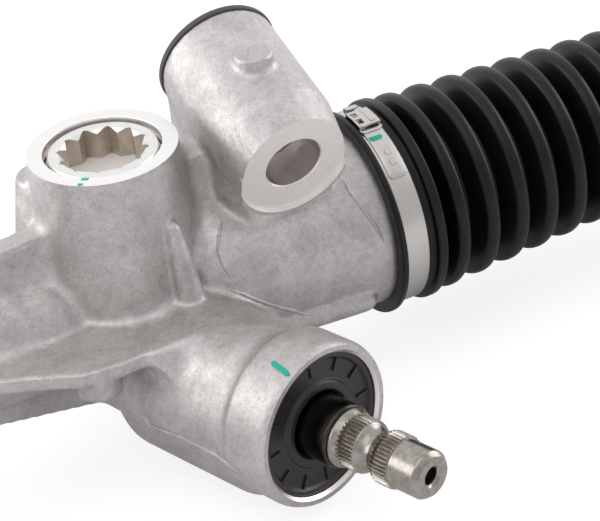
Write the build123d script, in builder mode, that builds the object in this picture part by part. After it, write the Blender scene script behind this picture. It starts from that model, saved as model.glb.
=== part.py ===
from build123d import *

import math
import os

# Driving dimensions, millimetres and degrees

# The main axes. Places are set out from the crossing of the yoke axis and the rack axis
MOUNT_ALONG = 51.6          # yoke axis to pinion-side mounting bore, along the rack
MOUNT_FORWARD = 27.4        # rack axis to the machined mounting face, to the front
MOUNT_RISE = 42.9           # rack axis to the centre of the mounting face, upwards
MOUNT_TILT = 17.9           # mounting axis dips this far below level
PINION_ANGLE = 18.7         # pinion axis off square to the rack
FAR_MOUNT_SPAN = 400.0      # between the two mounting bores

# Clearances
PRESS = 0.02                # radial gap of seats that are pressed or screwed together
RUNNING = 0.04              # radial gap of shafts and balls that turn or slide
SOFT_GAP = 0.3              # rubber beside a piece that moves away from it

# Teeth
MODULE = 2.0
PINION_TEETH = 8
PRESSURE_ANGLE = 20.0
PROFILE_SHIFT = 0.5
PINION_TIP = 10.4
PINION_ROOT = 6.6
RACK_ADDENDUM = 0.95
ROOT_CLEARANCE = 0.3
BACKLASH = 0.12
RACK_SPACES_EACH_WAY = 13
RACK_PITCH_HEIGHT = 8.15    # rack axis down to the pitch line of its teeth

# Rack bar
RACK_RADIUS = 13.0
RACK_TRAVEL = 70.0          # each way from straight ahead
STOP_MARGIN = 0.3
RACK_END_CHAMFER = 1.5

# Housing
RACK_ROOM = 1.5             # rack bar to the wall of its bore
RACK_BORE = RACK_RADIUS + RACK_ROOM
TUBE_RADIUS = 20.0
TUBE_ROUND = 6.0            # the tube's rounded end beside the yoke boss
TUBE_WAIST_WALL = 3.1       # the tube's wall under the yoke boss
TUBE_WAIST_RADIUS = RACK_BORE + TUBE_WAIST_WALL
BELL_RADIUS = 31.0
BELL_LENGTH = 57.0
BELL_START_RADIUS = 28.3
BELL_FOOT_RADIUS = 24.5     # the step where the bell begins
BELL_FOOT_LENGTH = 8.0
BELL_FOOT_SLOPE = 1.5
NECK_RADIUS = 30.0
NECK_LENGTH = 18.1
CUP_RADIUS = 25.0
CUP_DEPTH = 14.0
PINION_END = 100.0          # yoke axis to the pinion-side end of the housing
FAR_END = 400.0             # yoke axis to the far end of the housing

# Yoke boss and yoke
YOKE_BOSS_RADIUS = 23.9
YOKE_BOSS_TOP = 54.9
YOKE_RADIUS = 15.95
YOKE_BORE = 16.0
YOKE_FOOT = 5.0
YOKE_TOP = 37.0
LINER_THICKNESS = 1.2
LINER_FOOT = 6.5
O_RING_SECTION = 1.1
O_RING_HEIGHT = 27.0
SPRING_RADIUS = 7.8
SPRING_WIRE = 1.3
SPRING_POCKET = 9.6
SPRING_SEAT = 26.0
SPRING_TURNS = 3.0
PLUG_RADIUS = 18.5
PLUG_RIM = 17.0
PLUG_RECESS = 1.0           # plug face below the boss face
PLUG_HEIGHT = 13.0
PLUG_SOCKET = 14.5          # centre to a point of the twelve-point socket
PLUG_SOCKET_DEPTH = 7.5

# Pinion barrel
BARREL_FACE = 85.4          # crossing to the front face, along the pinion axis
BARREL_RIM = 27.2
COLLAR_LENGTH = 17.5
BARREL_RADIUS = 25.0
BELLY_RADIUS = 26.5         # cast belly under the barrel
BELLY_DROP = 3.0
BELLY_BACK = 12.0
BARREL_BACK = 40.0
SEAL_BORE = 23.5
SEAL_WIDTH = 7.0
SEAL_RECESS = 1.6
BEARING_WIDTH = 12.0
BEARING_SEAT = 62.0
BEARING_BORE = 12.5
RING_THICKNESS = 1.5
RING_GROOVE = 1.1
TOOTH_CAVITY = 12.0
SHOULDER_CAVITY = 16.0
SHOULDER_DEPTH = 8.0
JOURNAL_RADIUS = 6.0
LOWER_BUSH_RADIUS = 8.5
LOWER_BUSH_LENGTH = 12.0
LOWER_BUSH_GAP = 4.0         # teeth of the pinion to its lower bush
PINION_FACE_HALF = 16.0

# Input shaft, places measured along the pinion axis
SHAFT_RADIUS = 10.2
SHAFT_SHOULDER = 9.5
SPLINE_RADIUS = 8.6
SPLINE_ROOT = 8.0
SPLINE_COUNT = 36
WAIST_RADIUS = 6.6
PILOT_RADIUS = 7.8
SHAFT_DARK_END = 95.0
SPLINE_START = 98.5
SPLINE_END = 103.5
WAIST = 109.0
SPLINE_TWO = 112.0
PILOT_START = 117.5
SHAFT_END = 129.5
CENTRE_HOLE = 3.2
CENTRE_HOLE_DEPTH = 10.0

# Mounting bosses and their bushes
MOUNT_BOSS_RADIUS = 20.0
MOUNT_BOSS_LENGTH = 51.4    # machined face to the flange of the bush
MOUNT_NOSE_RADIUS = 17.6    # the boss narrows to this at its machined face
MOUNT_NOSE_LENGTH = 12.0
MOUNT_SKIRT_HALF = 17.4
MOUNT_SKIRT_SET_BACK = 3.5  # lower edge of the machined face to the front of the skirt
SPOT_FACE_RADIUS = 19.3
MOUNT_BORE = 9.45
MOUNT_WALL = 14.0
BUSH_RADIUS = 16.5
BUSH_SHELL = 1.2
BUSH_SLEEVE = 9.2
BUSH_SLEEVE_BORE = 6.3
BUSH_FLANGE_RADIUS = 20.5
BUSH_FLANGE = 3.0

# Rack bush and stops
RACK_BUSH_STEP = 2.0        # the bush's seat is this much larger than the bore
RACK_BUSH_RADIUS = RACK_BORE + RACK_BUSH_STEP
RACK_BUSH_LENGTH = 26.0
STOP_THICKNESS = 3.0

# Inner ball joints and tie rods, places measured from the end of the rack bar
SOCKET_RADIUS = 17.5
SOCKET_FLAT = 30.0          # across the spanner flats
SOCKET_FLAT_LENGTH = 8.0
STUD_RADIUS = 7.0
STUD_LENGTH = 20.0
BALL_RADIUS = 11.0
BALL_CENTRE = 19.0
SEAT_THICKNESS = 2.4
SEAT_OPENING = 66.0         # half angle of the seat's mouth
SOCKET_OPENING = 62.0       # half angle of the socket's mouth
NECK_OF_ROD = 6.2
ROD_NECK_END = 18.0         # ball centre to the end of the slim neck
ROD_SHOULDER = 24.0         # ball centre to the full rod
ROD_RADIUS = 7.5
THREAD_RADIUS = 7.0
THREAD_PITCH_RADIUS = 6.5   # where the jam nut's thread and the rod's meet
ROD_LENGTH = 285.0          # ball centre to the threaded tip
THREAD_LENGTH = 85.0
ROD_FLAT = 12.4             # across the spanner flats
ROD_FLAT_LENGTH = 12.0
ROD_FLAT_INSET = 6.0        # the flats to the start of the thread
JAM_NUT_FLATS = 22.0
JAM_NUT_HEIGHT = 11.0
JAM_NUT_PLACE = 60.0        # from the threaded tip
BOOT_GROOVE_DEPTH = 0.8

# Boots and their clamps, places measured from the end of the housing
BOOT_BEAD_RADIUS = 35.0
BOOT_BAND_RADIUS = 32.2
BOOT_FLANGE_RADIUS = 34.6
BOOT_FLANGE_PLACE = -2.6
BOOT_FLANGE_HALF = 2.0
BOOT_FIRST_CREST = 6.1
BOOT_PITCH = 11.5
BOOT_RINGS = 11
BOOT_CREST_RADIUS = 33.8
BOOT_CREST_TAPER = 0.54
BOOT_FOLD = 8.5             # crest to valley
BOOT_CREST_WIDTH = 3.2
BOOT_VALLEY_WIDTH = 2.4
BOOT_WALL = 1.8
BOOT_SHOULDER = 1.6         # where the boot turns inwards past the end of the neck
BOOT_TAIL = 24.0            # last crest to the small end
BOOT_END_LENGTH = 9.0
BOOT_END_WALL = 2.2
CLAMP_WIDTH = 7.9
CLAMP_THICKNESS = 0.8
CLAMP_STRAP = (-8.0, 47.0)  # degrees from the top over which the strip's end lies on the band
CLAMP_STRAP_WIDTH = 6.4
CLAMP_BUCKLE = (-6.0, 9.0)
CLAMP_BUCKLE_HEIGHT = 2.4
CLIP_THICKNESS = 0.9
CLIP_WIDTH = 6.0

# Worked out from the driving dimensions

PITCH_RADIUS = MODULE * PINION_TEETH / 2
BASE_RADIUS = PITCH_RADIUS * math.cos(math.radians(PRESSURE_ANGLE))
CENTRE_DISTANCE = PITCH_RADIUS + RACK_PITCH_HEIGHT
TRANSVERSE_PITCH = math.pi * MODULE
FLANK_SLOPE = math.tan(math.radians(PRESSURE_ANGLE))
TOOTH_THICKNESS = MODULE * (math.pi / 2 + 2 * PROFILE_SHIFT * FLANK_SLOPE)
RACK_ROOT = PINION_TIP + ROOT_CLEARANCE
STOP_FACE = STOP_THICKNESS - CUP_DEPTH
RACK_OVERHANG = STOP_FACE + RACK_TRAVEL + STOP_MARGIN
BALL_PLACE = RACK_OVERHANG + BALL_CENTRE
SEAT_RADIUS = BALL_RADIUS + SEAT_THICKNESS
BOOT_START = PRESS - NECK_LENGTH
BOOT_LAST_CREST = BOOT_FIRST_CREST + (BOOT_RINGS - 1) * BOOT_PITCH
BOOT_END = BOOT_LAST_CREST + BOOT_TAIL
BOOT_END_BORE = ROD_RADIUS - BOOT_GROOVE_DEPTH + SOFT_GAP

# Planes and axes
CROSSING = Vector(-MOUNT_ALONG, MOUNT_FORWARD, -MOUNT_RISE)
UP = Vector(0, 0, 1)
PINION_LINE = Vector(math.sin(math.radians(PINION_ANGLE)), -math.cos(math.radians(PINION_ANGLE)), 0)
MOUNT_LINE = Vector(0, -math.cos(math.radians(MOUNT_TILT)), -math.sin(math.radians(MOUNT_TILT)))
PINION_ORIGIN = CROSSING - UP * CENTRE_DISTANCE

BENCH = Plane(origin=CROSSING)
RACK_SIDE = Plane(origin=CROSSING, x_dir=(1, 0, 0), z_dir=(0, -1, 0))
RACK_ACROSS = Plane(origin=CROSSING, x_dir=(0, 1, 0), z_dir=(1, 0, 0))
RACK_AXIS = Axis(CROSSING, (1, 0, 0))
YOKE_AXIS = Axis(CROSSING, UP)
PINION_ACROSS = Plane(origin=PINION_ORIGIN, x_dir=PINION_LINE.cross(UP) * -1, z_dir=PINION_LINE)
PINION_SIDE = Plane(origin=PINION_ORIGIN, x_dir=PINION_LINE, z_dir=PINION_LINE.cross(UP))
PINION_AXIS = Axis(PINION_ORIGIN, PINION_LINE)


def mount_across(centre):
    """The machined face of a mounting boss, looking out along its bolt."""
    return Plane(origin=centre, x_dir=(1, 0, 0), z_dir=MOUNT_LINE)


def end_side(side):
    """A plane through the rack axis at one end of the housing, its x pointing outboard."""
    if side == "right":
        return Plane(origin=CROSSING + Vector(PINION_END, 0, 0), x_dir=(1, 0, 0), z_dir=(0, -1, 0))
    return Plane(origin=CROSSING - Vector(FAR_END, 0, 0), x_dir=(-1, 0, 0), z_dir=(0, 1, 0))


def end_across(side, place):
    """A plane square to the rack axis, its z pointing outboard."""
    base = end_side(side)
    return Plane(origin=base.origin + base.x_dir * place, x_dir=(0, 1, 0), z_dir=base.x_dir)


def turned(plane, points):
    """Half of a turned piece's section: points are (along the axis, radius)."""
    with BuildSketch(plane) as section:
        with BuildLine():
            Polyline(*points, close=True)
        make_face()
    return section.sketch


def ring_points(start, end, inner, outer):
    """The section of a plain ring."""
    return [(start, inner), (end, inner), (end, outer), (start, outer)]


def axis_of(plane):
    """The turning axis of a half section drawn on a side plane."""
    return Axis(plane.origin, plane.x_dir)


def finish(piece, name):
    """Name a finished piece and write it."""
    piece.label = name
    export_step(piece, f"parts/{name}.step")


os.makedirs("parts", exist_ok=True)

MOUNT_CENTRES = {"right": Vector(0, 0, 0), "left": Vector(-FAR_MOUNT_SPAN, 0, 0)}


# Cast webs, ribs and pads of the housing, places from the crossing
WEB_FRONT = -6.0            # web between the yoke boss and the mounting boss
WEB_BACK = 6.0
WEB_TOP = 44.0
ARM_WALL_FRONT = -5.0       # upright rib that runs along the tube to the far side
ARM_WALL_BACK = 3.0
ARM_WALL_TOP = 35.0
ARM_WALL_END = 120.0
LUG_PLACE = (-18.0, 10.0)
LUG_RADIUS = 7.5
LUG_TOP = 47.5
SHELF_TOP = 6.0             # level shelf beside the barrel
SHELF_THICKNESS = 5.0
SHELF_EDGE = [(0.0, -30.0), (-12.0, -43.7), (-21.4, -44.0), (-32.3, -43.0), (-44.6, -35.8), (-55.5, -30.2)]
SHELF_END = 95.0
KEEL_HALF = 6.0
KEEL_DEPTH = 33.0
KEEL_END = 105.0
RIDGE_TOP = (10.5, -21.4, 33.0)
RIDGE_FOOT = (12.5, -22.4, 4.0)
RIDGE_RADII = (5.4, 2.0)
BELL_RIB_RADIUS = 6.0
BELL_RIB_TURN = 212.0       # degrees round the rack axis from the back
BELL_RIB_PROUD = 1.6        # how far the rib stands out of the bell
BELL_RIB_INSET = 11.0       # its ball end to the shoulder of the bell
PAD_RADIUS = 6.0
PAD_HEIGHT = 1.4
PAD_PLACE = 22.0            # mounting face to the pad on its boss
SHELF_PAD = (-28.0, -36.0, -10.0)
BARREL_PAD = 66.0           # crossing to the pad under the barrel, along the pinion axis
PAD_DEPTH = 12.0


def between(start, end):
    """A plane at one point whose z looks at another."""
    return Plane(origin=start, z_dir=end - start)


# Rack housing

def housing_tube_points():
    """Outer half section of the rack tube with a bell at each end."""
    far_shoulder = -FAR_END + NECK_LENGTH
    near_shoulder = PINION_END - NECK_LENGTH
    bell_foot = near_shoulder - BELL_LENGTH - BELL_FOOT_LENGTH
    return [
        (-FAR_END, 0),
        (-FAR_END, NECK_RADIUS - 1),
        (-FAR_END + 1, NECK_RADIUS),
        (far_shoulder, NECK_RADIUS),
        (far_shoulder, BELL_RADIUS),
        (far_shoulder + 0.4 * BELL_LENGTH, BELL_RADIUS - 1.5),
        (far_shoulder + BELL_LENGTH, TUBE_RADIUS),
        (-YOKE_BOSS_RADIUS - TUBE_ROUND, TUBE_RADIUS),
        (-YOKE_BOSS_RADIUS - TUBE_ROUND / 3, TUBE_RADIUS - 0.3 * (TUBE_RADIUS - TUBE_WAIST_RADIUS)),
        (-YOKE_BOSS_RADIUS + TUBE_ROUND / 3, TUBE_WAIST_RADIUS),
        (bell_foot - BELL_FOOT_SLOPE, TUBE_WAIST_RADIUS),
        (bell_foot, BELL_FOOT_RADIUS),
        (bell_foot + 0.75 * BELL_FOOT_LENGTH, BELL_START_RADIUS - 1.2),
        (bell_foot + 1.25 * BELL_FOOT_LENGTH, BELL_START_RADIUS),
        (near_shoulder, BELL_RADIUS),
        (near_shoulder, NECK_RADIUS),
        (PINION_END - 1, NECK_RADIUS),
        (PINION_END, NECK_RADIUS - 1),
        (PINION_END, 0),
    ]


def barrel_points():
    """Outer half section of the pinion barrel and its front collar."""
    collar_back = BARREL_FACE - COLLAR_LENGTH
    return [
        (-BARREL_BACK, 0),
        (-BARREL_BACK, 13),
        (-BARREL_BACK + 4, 16),
        (-8, 23),
        (collar_back - 4, BARREL_RADIUS),
        (collar_back, BARREL_RIM - 0.4),
        (BARREL_FACE - 1, BARREL_RIM),
        (BARREL_FACE, BARREL_RIM - 1),
        (BARREL_FACE, 0),
    ]


with BuildPart() as rack_housing:
    revolve(turned(RACK_SIDE, housing_tube_points()), axis=RACK_AXIS)
    # Yoke boss
    with BuildSketch(BENCH):
        Circle(YOKE_BOSS_RADIUS)
    extrude(amount=YOKE_BOSS_TOP)
    # Pinion barrel
    revolve(turned(PINION_SIDE, barrel_points()), axis=PINION_AXIS)
    # Belly under the barrel, with a rounded back end
    belly_plane = Plane(
        origin=PINION_ORIGIN - UP * BELLY_DROP, x_dir=PINION_SIDE.x_dir, z_dir=PINION_SIDE.z_dir
    )
    belly = turned(belly_plane, [
        (BELLY_BACK, 0),
        (BELLY_BACK, BELLY_RADIUS - 8),
        (BELLY_BACK + 3, BELLY_RADIUS - 3),
        (BELLY_BACK + 10, BELLY_RADIUS),
        (BARREL_FACE - COLLAR_LENGTH, BELLY_RADIUS),
        (BARREL_FACE - COLLAR_LENGTH + 6, BARREL_RIM - BELLY_DROP - 0.2),
        (BARREL_FACE - COLLAR_LENGTH + 6, 0),
    ])
    revolve(belly, axis=axis_of(belly_plane))
    # Mounting bosses, arched: a round top on a skirt that stands on the tube
    skirt_front = SPOT_FACE_RADIUS * math.sin(math.radians(MOUNT_TILT)) + MOUNT_SKIRT_SET_BACK
    skirt_length = MOUNT_BOSS_LENGTH * math.cos(math.radians(MOUNT_TILT)) - skirt_front
    for centre in MOUNT_CENTRES.values():
        with BuildSketch(mount_across(centre)):
            Circle(MOUNT_NOSE_RADIUS)
        with BuildSketch(mount_across(centre).offset(-MOUNT_NOSE_LENGTH)):
            Circle(MOUNT_BOSS_RADIUS)
        loft()
        with BuildSketch(mount_across(centre).offset(-MOUNT_NOSE_LENGTH)):
            Circle(MOUNT_BOSS_RADIUS)
        extrude(amount=MOUNT_NOSE_LENGTH - MOUNT_BOSS_LENGTH)
        with BuildSketch(mount_across(centre)):
            Circle(SPOT_FACE_RADIUS)
            half_face = (Align.CENTER, Align.MAX)
            Rectangle(2 * MOUNT_SKIRT_HALF, SPOT_FACE_RADIUS, align=half_face, mode=Mode.INTERSECT)
        extrude(amount=-MOUNT_NOSE_LENGTH)
        with BuildSketch(Plane(origin=centre - UP * MOUNT_RISE)):
            with Locations((0, skirt_front)):
                Rectangle(2 * MOUNT_SKIRT_HALF, skirt_length, align=(Align.CENTER, Align.MIN))
        extrude(amount=MOUNT_RISE)
    # Web from the yoke boss to the mounting boss
    with BuildSketch(BENCH):
        with Locations((MOUNT_ALONG / 2, (WEB_FRONT + WEB_BACK) / 2)):
            Rectangle(MOUNT_ALONG - 10, WEB_BACK - WEB_FRONT)
    extrude(amount=WEB_TOP)
    # Upright rib along the tube towards the far side
    with BuildSketch(RACK_SIDE.offset(-ARM_WALL_BACK)):
        with BuildLine():
            Polyline(
                (0, 0),
                (0, ARM_WALL_TOP + 1),
                (-2 * YOKE_BOSS_RADIUS, ARM_WALL_TOP - 1.5),
                (-ARM_WALL_END, TUBE_RADIUS - 2),
                (-ARM_WALL_END, 0),
                close=True,
            )
        make_face()
    extrude(amount=ARM_WALL_BACK - ARM_WALL_FRONT)
    # Lug beside the yoke boss
    with BuildSketch(BENCH):
        with Locations(LUG_PLACE):
            Circle(LUG_RADIUS)
    extrude(amount=LUG_TOP)
    # Level shelf in the corner of tube and barrel
    with BuildSketch(BENCH.offset(SHELF_TOP)):
        with BuildLine():
            Polyline(
                *SHELF_EDGE,
                (-SHELF_END, -TUBE_RADIUS + 2),
                (-SHELF_END, 0),
                (0, 0),
                close=True,
            )
        make_face()
    extrude(amount=-SHELF_THICKNESS)
    # Keel under the tube, deepest at the barrel
    with BuildSketch(RACK_SIDE.offset(-KEEL_HALF)):
        with BuildLine():
            Polyline(
                (0, 0),
                (0, -KEEL_DEPTH),
                (-10, -KEEL_DEPTH),
                (-KEEL_END, -TUBE_RADIUS + 2),
                (-KEEL_END, 0),
                close=True,
            )
        make_face()
    extrude(amount=2 * KEEL_HALF)
    # Rounded ridge down the front of the yoke boss
    ridge_foot = CROSSING + Vector(*RIDGE_FOOT)
    ridge_top = CROSSING + Vector(*RIDGE_TOP)
    ridge_length = (ridge_top - ridge_foot).length
    with Locations(between(ridge_foot, ridge_top)):
        Cone(*RIDGE_RADII, ridge_length, align=(Align.CENTER, Align.CENTER, Align.MIN))
    with Locations(ridge_top):
        Sphere(RIDGE_RADII[1])
    # Rounded rib low on the front of the bell
    rib_way = Vector(0, math.cos(math.radians(BELL_RIB_TURN)), math.sin(math.radians(BELL_RIB_TURN)))
    rib_sink = BELL_RIB_RADIUS - BELL_RIB_PROUD
    bell_shoulder = CROSSING + Vector(PINION_END - NECK_LENGTH, 0, 0)
    rib_start = bell_shoulder - Vector(BELL_LENGTH, 0, 0) + rib_way * (BELL_START_RADIUS - rib_sink)
    rib_end = bell_shoulder - Vector(BELL_RIB_INSET, 0, 0) + rib_way * (BELL_RADIUS - rib_sink)
    with Locations(between(rib_start, rib_end)):
        Cylinder(BELL_RIB_RADIUS, (rib_end - rib_start).length, align=(Align.CENTER, Align.CENTER, Align.MIN))
    with Locations(rib_end):
        Sphere(BELL_RIB_RADIUS)
    # Ejector pads: on the mounting boss, under the shelf and under the barrel
    with Locations(Plane(origin=MOUNT_LINE * -PAD_PLACE + UP * (MOUNT_BOSS_RADIUS - 1.5))):
        Cylinder(PAD_RADIUS, 2.5 + PAD_HEIGHT, align=(Align.CENTER, Align.CENTER, Align.MIN))
    with Locations(CROSSING + Vector(*SHELF_PAD)):
        Cylinder(PAD_RADIUS + 0.8, PAD_DEPTH, align=(Align.CENTER, Align.CENTER, Align.MIN))
    with Locations(PINION_ORIGIN + PINION_LINE * BARREL_PAD - UP * (BELLY_RADIUS + BELLY_DROP + PAD_HEIGHT)):
        Cylinder(PAD_RADIUS - 0.8, PAD_DEPTH, align=(Align.CENTER, Align.CENTER, Align.MIN))
    # Rack bore, end cups and bush seat
    bore = turned(RACK_SIDE, ring_points(-FAR_END, PINION_END, 0, RACK_BORE))
    revolve(bore, axis=RACK_AXIS, mode=Mode.SUBTRACT)
    for side in ("right", "left"):
        cup = turned(end_side(side), ring_points(-CUP_DEPTH, 0, 0, CUP_RADIUS))
        revolve(cup, axis=axis_of(end_side(side)), mode=Mode.SUBTRACT)
    bush_back = -CUP_DEPTH - RACK_BUSH_LENGTH
    bush_seat = turned(end_side("left"), ring_points(bush_back, -CUP_DEPTH, 0, RACK_BUSH_RADIUS))
    revolve(bush_seat, axis=axis_of(end_side("left")), mode=Mode.SUBTRACT)
    # Yoke bore and the seat of its plug
    with BuildSketch(BENCH.offset(YOKE_FOOT - 1)):
        Circle(YOKE_BORE)
    extrude(amount=YOKE_BOSS_TOP, mode=Mode.SUBTRACT)
    with BuildSketch(BENCH.offset(YOKE_BOSS_TOP)):
        Circle(PLUG_RADIUS)
    extrude(amount=-PLUG_RECESS - PLUG_HEIGHT, mode=Mode.SUBTRACT)
    # Pinion bores, each smaller than the one in front
    bores = turned(PINION_SIDE, [
        (-PINION_FACE_HALF - LOWER_BUSH_GAP - LOWER_BUSH_LENGTH, 0),
        (-PINION_FACE_HALF - LOWER_BUSH_GAP - LOWER_BUSH_LENGTH, LOWER_BUSH_RADIUS),
        (-PINION_FACE_HALF - LOWER_BUSH_GAP, LOWER_BUSH_RADIUS),
        (-PINION_FACE_HALF - LOWER_BUSH_GAP, TOOTH_CAVITY),
        (BEARING_SEAT - SHOULDER_DEPTH, TOOTH_CAVITY),
        (BEARING_SEAT - SHOULDER_DEPTH, SHOULDER_CAVITY),
        (BEARING_SEAT, SHOULDER_CAVITY),
        (BEARING_SEAT, SEAL_BORE),
        (BEARING_SEAT + BEARING_WIDTH, SEAL_BORE),
        (BEARING_SEAT + BEARING_WIDTH, SEAL_BORE + RING_GROOVE),
        (BEARING_SEAT + BEARING_WIDTH + RING_THICKNESS, SEAL_BORE + RING_GROOVE),
        (BEARING_SEAT + BEARING_WIDTH + RING_THICKNESS, SEAL_BORE),
        (BARREL_FACE, SEAL_BORE),
        (BARREL_FACE, 0),
    ])
    revolve(bores, axis=PINION_AXIS, mode=Mode.SUBTRACT)
    # Spot faces and mounting bores
    for centre in MOUNT_CENTRES.values():
        with BuildSketch(mount_across(centre)):
            Circle(SPOT_FACE_RADIUS)
        extrude(amount=MOUNT_NOSE_LENGTH, mode=Mode.SUBTRACT)
        with BuildSketch(mount_across(centre)):
            Circle(MOUNT_BORE)
        extrude(amount=-MOUNT_WALL, mode=Mode.SUBTRACT)
        with BuildSketch(mount_across(centre).offset(-MOUNT_WALL)):
            Circle(BUSH_RADIUS)
        extrude(amount=MOUNT_WALL - MOUNT_BOSS_LENGTH, mode=Mode.SUBTRACT)
finish(rack_housing.part, "rack_housing")


# Rack bar with its inclined teeth

RACK_NEAR = PINION_END + RACK_OVERHANG
RACK_FAR = -FAR_END - RACK_OVERHANG

with BuildPart() as rack_bar:
    revolve(turned(RACK_SIDE, [
        (RACK_FAR, 0),
        (RACK_FAR, RACK_RADIUS - RACK_END_CHAMFER),
        (RACK_FAR + RACK_END_CHAMFER, RACK_RADIUS),
        (RACK_NEAR - RACK_END_CHAMFER, RACK_RADIUS),
        (RACK_NEAR, RACK_RADIUS - RACK_END_CHAMFER),
        (RACK_NEAR, 0),
    ]), axis=RACK_AXIS)
    # Toothed face: a flat at the tooth tips, then the spaces, cut along the pinion axis right across the bar
    tip_line = PITCH_RADIUS - RACK_ADDENDUM
    flat_half = (RACK_SPACES_EACH_WAY + 0.5) * TRANSVERSE_PITCH
    slant = math.radians(PINION_ANGLE)
    cut_reach = flat_half * math.tan(slant) + 1.2 * RACK_RADIUS / math.cos(slant)
    with BuildSketch(PINION_ACROSS):
        with Locations((0, tip_line)):
            Rectangle(2 * flat_half, RACK_RADIUS, align=(Align.CENTER, Align.MAX))
    extrude(amount=cut_reach, both=True, mode=Mode.SUBTRACT)
    space_half = (TOOTH_THICKNESS + BACKLASH) / 2
    root_half = space_half - (RACK_ROOT - PITCH_RADIUS) * FLANK_SLOPE
    tip_half = space_half + RACK_ADDENDUM * FLANK_SLOPE
    with BuildSketch(PINION_ACROSS):
        for index in range(-RACK_SPACES_EACH_WAY, RACK_SPACES_EACH_WAY + 1):
            middle = index * TRANSVERSE_PITCH
            with BuildLine():
                Polyline(
                    (middle - tip_half, tip_line),
                    (middle - root_half, RACK_ROOT),
                    (middle + root_half, RACK_ROOT),
                    (middle + tip_half, tip_line),
                    close=True,
                )
            make_face()
    extrude(amount=cut_reach, both=True, mode=Mode.SUBTRACT)
    # Tapped holes for the inner ball joints
    for side in ("right", "left"):
        tapped = ring_points(RACK_OVERHANG - STUD_LENGTH - 2, RACK_OVERHANG, 0, STUD_RADIUS + PRESS)
        revolve(turned(end_side(side), tapped), axis=axis_of(end_side(side)), mode=Mode.SUBTRACT)
finish(rack_bar.part, "rack_bar")


# Rack bush and travel stops

with BuildPart() as rack_bush:
    side_plane = end_side("left")
    bush_start = -CUP_DEPTH - RACK_BUSH_LENGTH
    bush_ring = ring_points(bush_start, -CUP_DEPTH, RACK_RADIUS + RUNNING, RACK_BUSH_RADIUS - PRESS)
    revolve(turned(side_plane, bush_ring), axis=axis_of(side_plane))
finish(rack_bush.part, "rack_bush")

for side in ("right", "left"):
    with BuildPart() as rack_stop:
        side_plane = end_side(side)
        stop_ring = ring_points(-CUP_DEPTH, STOP_FACE, RACK_RADIUS + 0.6, CUP_RADIUS - PRESS)
        revolve(turned(side_plane, stop_ring), axis=axis_of(side_plane))
    finish(rack_stop.part, f"rack_stop_{side}")


# Yoke, liner, seal ring, spring and plug

with BuildPart() as yoke:
    with BuildSketch(BENCH.offset(YOKE_FOOT)):
        Circle(YOKE_RADIUS)
    extrude(amount=YOKE_TOP - YOKE_FOOT)
    with BuildSketch(RACK_ACROSS):
        Circle(RACK_RADIUS + RUNNING + LINER_THICKNESS + PRESS)
    extrude(amount=YOKE_RADIUS + 1, both=True, mode=Mode.SUBTRACT)
    with BuildSketch(BENCH.offset(YOKE_TOP)):
        Circle(SPRING_POCKET)
    extrude(amount=SPRING_SEAT - YOKE_TOP, mode=Mode.SUBTRACT)
    groove_half = O_RING_SECTION + 0.15
    with BuildSketch(RACK_SIDE):
        with Locations((YOKE_RADIUS, O_RING_HEIGHT)):
            Rectangle(4 * O_RING_SECTION, 2 * groove_half)
    revolve(axis=YOKE_AXIS, mode=Mode.SUBTRACT)
finish(yoke.part, "yoke")

with BuildPart() as yoke_liner:
    with BuildSketch(RACK_ACROSS):
        Circle(RACK_RADIUS + RUNNING + LINER_THICKNESS)
        Circle(RACK_RADIUS + RUNNING, mode=Mode.SUBTRACT)
        with Locations((0, LINER_FOOT)):
            Rectangle(4 * RACK_RADIUS, 4 * RACK_RADIUS, align=(Align.CENTER, Align.MAX), mode=Mode.SUBTRACT)
    extrude(amount=YOKE_RADIUS, both=True)
    with BuildSketch(BENCH):
        Circle(YOKE_RADIUS - 0.4)
    extrude(amount=YOKE_TOP, mode=Mode.INTERSECT)
finish(yoke_liner.part, "yoke_liner")

with BuildPart() as yoke_o_ring:
    with BuildSketch(RACK_SIDE):
        with Locations((YOKE_BORE - PRESS - O_RING_SECTION, O_RING_HEIGHT)):
            Circle(O_RING_SECTION)
    revolve(axis=YOKE_AXIS)
finish(yoke_o_ring.part, "yoke_o_ring")

PLUG_FACE = YOKE_BOSS_TOP - PLUG_RECESS
PLUG_FOOT = PLUG_FACE - PLUG_HEIGHT
SPRING_TOP = PLUG_FOOT + 2.5

with BuildPart() as yoke_plug:
    plug_section = [
        (0, PLUG_FOOT),
        (PLUG_RADIUS - PRESS, PLUG_FOOT),
        (PLUG_RADIUS - PRESS, PLUG_FACE - 1.4),
        (PLUG_RIM, PLUG_FACE),
        (0, PLUG_FACE),
    ]
    revolve(turned(RACK_SIDE, plug_section), axis=YOKE_AXIS)
    with BuildSketch(BENCH.offset(PLUG_FACE)):
        for turn in (0, 30):
            RegularPolygon(PLUG_SOCKET, 6, rotation=turn)
    extrude(amount=-PLUG_SOCKET_DEPTH, mode=Mode.SUBTRACT)
    with BuildSketch(BENCH.offset(PLUG_FOOT)):
        Circle(SPRING_POCKET)
    extrude(amount=SPRING_TOP - PLUG_FOOT, mode=Mode.SUBTRACT)
finish(yoke_plug.part, "yoke_plug")

with BuildPart() as yoke_spring:
    spring_height = SPRING_TOP - SPRING_SEAT
    coil_rise = spring_height - 2 * SPRING_WIRE
    with BuildLine(BENCH.offset(SPRING_SEAT + SPRING_WIRE)) as coil:
        Helix(pitch=coil_rise / SPRING_TURNS, height=coil_rise, radius=SPRING_RADIUS)
    with BuildSketch(Plane(origin=coil.line @ 0, z_dir=coil.line % 0)):
        Circle(SPRING_WIRE)
    sweep(is_frenet=True)
finish(yoke_spring.part, "yoke_spring")


# Pinion, its bearings, retaining ring and seal

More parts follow.
